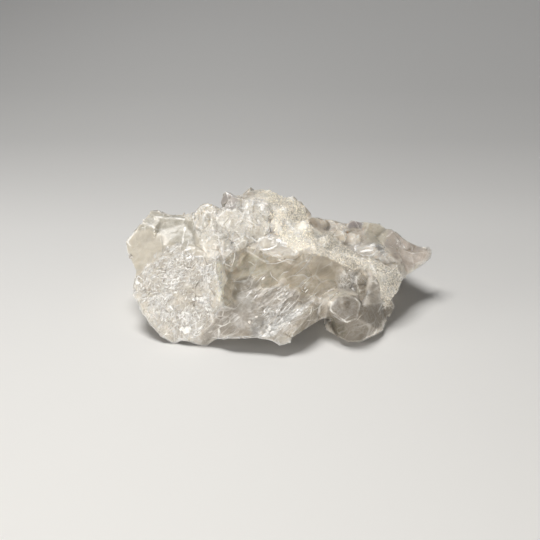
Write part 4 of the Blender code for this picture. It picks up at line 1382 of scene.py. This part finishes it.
def sliver(width, line):
    """A blade along a line: rings of four corners, left, top, right and bottom, whose width
    follows the square root of a sine from end to end, closed by its own pointed ends."""
    line = np.array(line)
    part = np.concatenate([[0.0], np.cumsum(np.hypot(*np.diff(line, axis=0).T))])
    count = max(4, int(part[-1] / SLIVER_STEP) + 1)
    along = np.linspace(0.0, part[-1], count)
    across = np.interp(along, part, line[:, 0])
    up = np.interp(along, part, line[:, 1])
    spots, outward, found = laid(skin_tree, across, up)
    if not found.all():
        return None
    forward = unit(np.gradient(spots, axis=0))
    side = unit(np.cross(forward, outward))
    half = 0.5 * width * MM * np.sqrt(np.sin(math.pi * np.linspace(0.04, 0.96, count)))
    half = half * (0.75 + 0.5 * clouds(spots, 0.8 * MM, 51))
    left = spots - side * half[:, None]
    right = spots + side * half[:, None]
    top = spots + outward * SLIVER_RISE
    bottom = spots - outward * 2.0 * SLIVER_RISE
    return np.stack([left, top, right, bottom], axis=1)


def sliver_faces(count):
    """Quads between the rings, and one quad on each end."""
    ring = np.arange(count - 1)[:, None] * 4 + np.arange(4)[None]
    after = np.arange(count - 1)[:, None] * 4 + (np.arange(4)[None] + 1) % 4
    walls = np.stack([ring, after, after + 4, ring + 4], axis=-1).reshape(-1, 4)
    ends = np.array([[3, 2, 1, 0], [4 * count - 4, 4 * count - 3, 4 * count - 2, 4 * count - 1]])
    return np.vstack([walls, ends])


print("faces round", 5, "rings:", len(sliver_faces(5)))


# %% All the slivers in one mesh
def highlight_slivers():
    """All the slivers in one mesh, white and slightly frosted: painted highlights."""
    corners, faces, shine, start = [], [], [], 0
    for width, *line in HIGHLIGHT_SLIVERS:
        rings = sliver(width, line)
        if rings is None:
            continue
        corners.append(rings.reshape(-1, 3))
        faces.append(sliver_faces(len(rings)) + start)
        shine.append(np.full(4 * len(rings), min(1.0, 0.45 + width)))
        start += 4 * len(rings)
    obj = mesh_object("bright_slivers", np.clip(np.vstack(corners), low, high), np.vstack(faces))
    give_number(obj, "shine", np.concatenate(shine))
    obj.data.materials.append(sliver_material())
    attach(obj, "root")
    return obj


def sliver_material():
    """White stone with a soft shine, for painted highlights."""
    stone = Recipe("bright_sliver")
    speck = stone.ramp(stone.clouds(stone.place(), 1500.0, 3.0), 0.35, 0.65, 0.75, 1.0)
    speck = stone.math("MULTIPLY", speck, stone.attribute("shine"))
    shader = stone.node(
        "ShaderNodeBsdfPrincipled",
        {
            "Base Color": stone.scaled(WHITE[:3], speck),
            "Roughness": 0.25,
            "IOR": 1.54,
            "Transmission Weight": 0.1,
        },
    )
    return stone.finish(shader.outputs[0])


slivers = highlight_slivers()
print("bright slivers:", len(slivers.data.polygons), "faces")

# %% [markdown]
# ## Strokes on chipped ground
# The broken face is covered in short bent strokes, the lit lips of small shells, painted as
# white highlights. Each stroke is an arc on the leaning plane: it starts somewhere in its zone,
# runs in a direction that drifts slowly from place to place, and bends. All of them are made as
# one array of points, laid on the skin, and given the same tapered blade as the slivers.

# %% The strokes
STROKE_POINTS = 6
# zone, how many, mean length and width in millimetres, heading and spread in degrees, bend
STROKES = [
    ("broken face", 420, 2.0, 0.30, 60.0, 60.0, 1.3),
    ("broken face", 700, 1.2, 0.19, 60.0, 70.0, 1.3),
    ("broken face", 40, 1.7, 0.95, 20.0, 60.0, 0.6),
    ("lumps", 110, 1.8, 0.28, 20.0, 90.0, 1.2),
    ("lumps", 340, 0.9, 0.18, 20.0, 90.0, 1.2),
    ("lumps", 46, 1.1, 0.75, 20.0, 90.0, 0.6),
    ("torn face", 130, 2.0, 0.19, 44.0, 6.0, 0.2),
    ("torn face", 60, 1.0, 0.30, 44.0, 10.0, 0.3),
    ("streak", 130, 1.6, 0.30, 42.0, 10.0, 0.3),
    ("lower face", 26, 2.2, 0.08, 40.0, 8.0, 0.2),
    ("far crystals", 130, 0.7, 0.20, 90.0, 90.0, 0.8),
    ("block top", 36, 0.9, 0.18, 10.0, 40.0, 0.8),
    ("crust", 420, 0.5, 0.20, 0.0, 90.0, 0.8),
    ("rim", 60, 0.8, 0.26, 60.0, 60.0, 0.8),
    ("ledge", 50, 1.6, 0.10, -40.0, 8.0, 0.2),
]
print("strokes wanted:", sum(stroke[1] for stroke in STROKES))


# %% Scatter bent strokes in a zone
def strokes_in(name, count, length, width, heading, spread, bend, seed):
    """Arcs in one zone: the point at share t is the start plus the length times the integral
    of a heading that turns at a steady rate, as rows of across and up, with widths."""
    random = np.random.default_rng(seed)
    outline = np.array(ZONES[name])
    tries = random.uniform(outline.min(axis=0), outline.max(axis=0), (40 * count, 2))
    flat = np.column_stack([tries * MM, np.zeros(len(tries))])
    odds = zone(tries[:, 0], tries[:, 1], ZONES[name], 0.3)
    odds = odds * soft_step(clouds(flat, 4.0 * MM, seed), 0.38, 0.72)
    starts = tries[random.random(len(tries)) < odds][:count]
    count = len(starts)
    flat = np.column_stack([starts * MM, np.zeros(count)])
    drift = 2.0 * clouds(flat, 4.5 * MM, seed + 1) - 1.0
    angle = np.radians(heading + spread * (drift + 0.4 * random.normal(size=count)))
    length = length * random.lognormal(-0.1, 0.45, count)
    width = width * random.lognormal(-0.1, 0.4, count)
    turn = random.normal(0.0, bend, count)
    part = np.linspace(0.0, 1.0, STROKE_POINTS)
    turned = angle[:, None] + turn[:, None] * (part - 0.5)
    step = length[:, None] / (STROKE_POINTS - 1)
    across = starts[:, :1] + np.cumsum(np.cos(turned) * step, axis=1)
    up = starts[:, 1:] + np.cumsum(np.sin(turned) * step, axis=1)
    return across, up, width


# %% All the strokes in one mesh
def bright_strokes():
    """Every stroke of every zone in one mesh, painted highlights in white stone, without those that hang
    over a gap.
    """
    found = [strokes_in(*stroke, 60 + 2 * index) for index, stroke in enumerate(STROKES)]
    across, up, width = (np.concatenate(part) for part in zip(*found))
    spots, outward, hit = laid(skin_tree, across.ravel(), up.ravel())
    shape = (*across.shape, 3)
    spots, outward = spots.reshape(shape), outward.reshape(shape)
    keep = hit.reshape(across.shape).all(axis=1)
    longest = np.linalg.norm(np.diff(spots, axis=1), axis=2).max(axis=1)
    keep &= longest < 1.2 * MM
    keep &= (outward @ np.array(TO_EYE) > 0.3).all(axis=1)
    spots, outward, width = spots[keep], outward[keep], width[keep]
    forward = unit(np.gradient(spots, axis=1).reshape(-1, 3)).reshape(spots.shape)
    side = unit(np.cross(forward, outward).reshape(-1, 3)).reshape(spots.shape)
    taper = np.sqrt(np.sin(math.pi * np.linspace(0.06, 0.94, STROKE_POINTS)))
    half = (0.5 * MM * width[:, None] * taper)[..., None]
    rise = np.minimum(0.35 * half, 0.10 * MM)
    rings = np.stack(
        [spots - side * half, spots + outward * rise, spots + side * half, spots - outward * 2.0 * rise],
        axis=2,
    )
    one = sliver_faces(STROKE_POINTS)
    start = np.arange(len(rings))[:, None, None] * 4 * STROKE_POINTS
    corners = np.clip(rings.reshape(-1, 3), low, high)
    obj = mesh_object("bright_strokes", corners, (one[None] + start).reshape(-1, 4))
    shine = np.random.default_rng(90).uniform(0.62, 1.0, len(rings))
    give_number(obj, "shine", np.repeat(shine, 4 * STROKE_POINTS))
    obj.data.materials.append(slivers.data.materials[0])
    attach(obj, "root")
    return obj


print("strokes:", len(bright_strokes().data.polygons), "faces")

# %% [markdown]
# ## Studio
# Clear stone shows what is round it, so it's set on pale paper that curves up behind, with a
# fall-off of light towards the back painted on it. A flat floor and a wall would show their
# corner. The key lamp is soft and almost overhead, and leaves a short shadow. A weaker one
# stands to the left, and two low wide ones in front reach under the lumps. The room itself
# gives almost no light, which keeps the shadows deep.

# %% Floor
SWEEP = 0.9  # how fast the paper curves up


def sweep():
    """Paper that lies flat and then curves up: its height is the sweep times the square of the
    way past the bend."""
    width = np.linspace(-1.6, 1.6, 9)
    depth = np.concatenate([np.linspace(-1.2, 0.05, 6), np.linspace(0.08, 1.5, 30)])
    past = np.maximum(depth - 0.05, 0.0)
    x, y = np.meshgrid(width, depth)
    z = np.repeat((SWEEP * past * past)[:, None], len(width), axis=1)
    rows, columns = x.shape
    corner = np.arange(rows * columns).reshape(rows, columns)
    faces = np.stack([corner[:-1, :-1], corner[:-1, 1:], corner[1:, 1:], corner[1:, :-1]], axis=-1)
    return np.stack([x, y, z], axis=-1).reshape(-1, 3), faces.reshape(-1, 4)


floor = mesh_object("floor", *sweep(), sharp=60.0)
print("floor:", len(floor.data.polygons), "faces")

# %% Paper
# The paper carries painted light: a fade in the share of light it sends back at distances
# behind the cluster, in metres, with a slight lean to the left. The dimming towards the back is
# painted, not lit.
PAINTED_FALLOFF = [
    (-0.12, 0.92), (-0.07, 0.83), (-0.03, 0.765), (0.01, 0.695), (0.05, 0.63), (0.09, 0.50),
    (0.12, 0.415), (0.16, 0.355), (0.22, 0.31), (0.30, 0.27),
]


def paper_material():
    """A matt paper whose colour follows the way back along the floor: a painted fall-off of light."""
    paper = Recipe("paper")
    x, y, _ = paper.node("ShaderNodeSeparateXYZ", {0: paper.place()}).outputs
    start, end = PAINTED_FALLOFF[0][0], PAINTED_FALLOFF[-1][0]
    ramp = paper.node("ShaderNodeValToRGB", {0: paper.ramp(y, start, end)})
    stops = ramp.color_ramp.elements
    while len(stops) < len(PAINTED_FALLOFF):
        stops.new(0.5)
    for stop, (behind, share) in zip(stops, PAINTED_FALLOFF):
        stop.position = (behind - start) / (end - start)
        stop.color = (share, share, share, 1.0)
    # painted light: the fade leans from side to side, more so further back
    lean = paper.math("MULTIPLY", x, paper.ramp(y, 0.08, 0.25, 0.3, 1.7))
    shade = paper.math("MULTIPLY", paper.math("ADD", lean, 1.0), ramp.outputs[0])
    # slightly warmer in front
    warm = paper.mix(paper.ramp(y, -0.10, 0.20), (1.0, 0.99, 0.965, 1.0), (1.0, 1.0, 1.0, 1.0))
    shader = paper.node(
        "ShaderNodeBsdfPrincipled", {"Roughness": 0.75, "Base Color": paper.scaled(warm, shade)}
    )
    return paper.finish(shader.outputs[0])


floor.data.materials.append(paper_material())
print("paper:", len(PAINTED_FALLOFF), "steps of its fade")


# %% Lamps
def lamp(name, place, width, height, watts, colour=(1.0, 1.0, 1.0)):
    """An oblong area lamp that points at the cluster."""
    data = bpy.data.lights.new(name, "AREA")
    data.shape = "RECTANGLE"
    data.size = width
    data.size_y = height
    data.energy = watts
    data.color = colour
    obj = bpy.data.objects.new(name, data)
    obj.location = place
    aim = PLANE_MIDDLE - Vector(place)
    obj.rotation_mode = "QUATERNION"
    obj.rotation_quaternion = aim.to_track_quat("-Z", "Y")
    obj.visible_camera = False
    bpy.context.scene.collection.objects.link(obj)
    return obj


lamp("key", (-0.11, 0.08, 0.44), 0.20, 0.20, 1.92, (1.0, 0.985, 0.96))
lamp("side", (-0.50, -0.12, 0.16), 0.20, 0.14, 0.5, (1.0, 0.98, 0.95))
lamp("left fill", (-0.28, -0.52, 0.04), 0.60, 0.07, 2.4, (1.0, 0.98, 0.95))
lamp("right fill", (0.40, -0.42, 0.04), 0.40, 0.07, 1.5, (1.0, 0.98, 0.95))
print("lamps:", [light.name for light in bpy.data.lights])
world = bpy.data.worlds.new("room")
world.use_nodes = True
world.node_tree.nodes["Background"].inputs["Color"].default_value = (0.95, 0.97, 1.0, 1.0)
world.node_tree.nodes["Background"].inputs["Strength"].default_value = 0.05
bpy.context.scene.world = world
bpy.context.scene.view_settings.view_transform = "Standard"

# %% [markdown]
# ## Camera
# It stands where the eye of the leaning plane is and looks straight at the plane, so the zones
# line up with what it sees. A long lens keeps the far end from looking small. A small shift
# moves the frame without turning the camera.

# %% Camera
FRAME_PIXELS = 540.0
MIDDLE_IN_FRAME = (279.0, 268.5)
camera_data = bpy.data.cameras.new("camera")
camera_data.lens = 85.0
camera_data.sensor_width = 36.0
camera_data.shift_x = (FRAME_PIXELS / 2 - MIDDLE_IN_FRAME[0]) / FRAME_PIXELS
camera_data.shift_y = (MIDDLE_IN_FRAME[1] - FRAME_PIXELS / 2) / FRAME_PIXELS
camera = bpy.data.objects.new("camera", camera_data)
bpy.context.scene.collection.objects.link(camera)
camera.location = EYE
camera.rotation_mode = "QUATERNION"
camera.rotation_quaternion = (-TO_EYE).to_track_quat("-Z", "Y")
bpy.context.scene.camera = camera
print("the camera stands at, m:", [round(v, 3) for v in EYE])
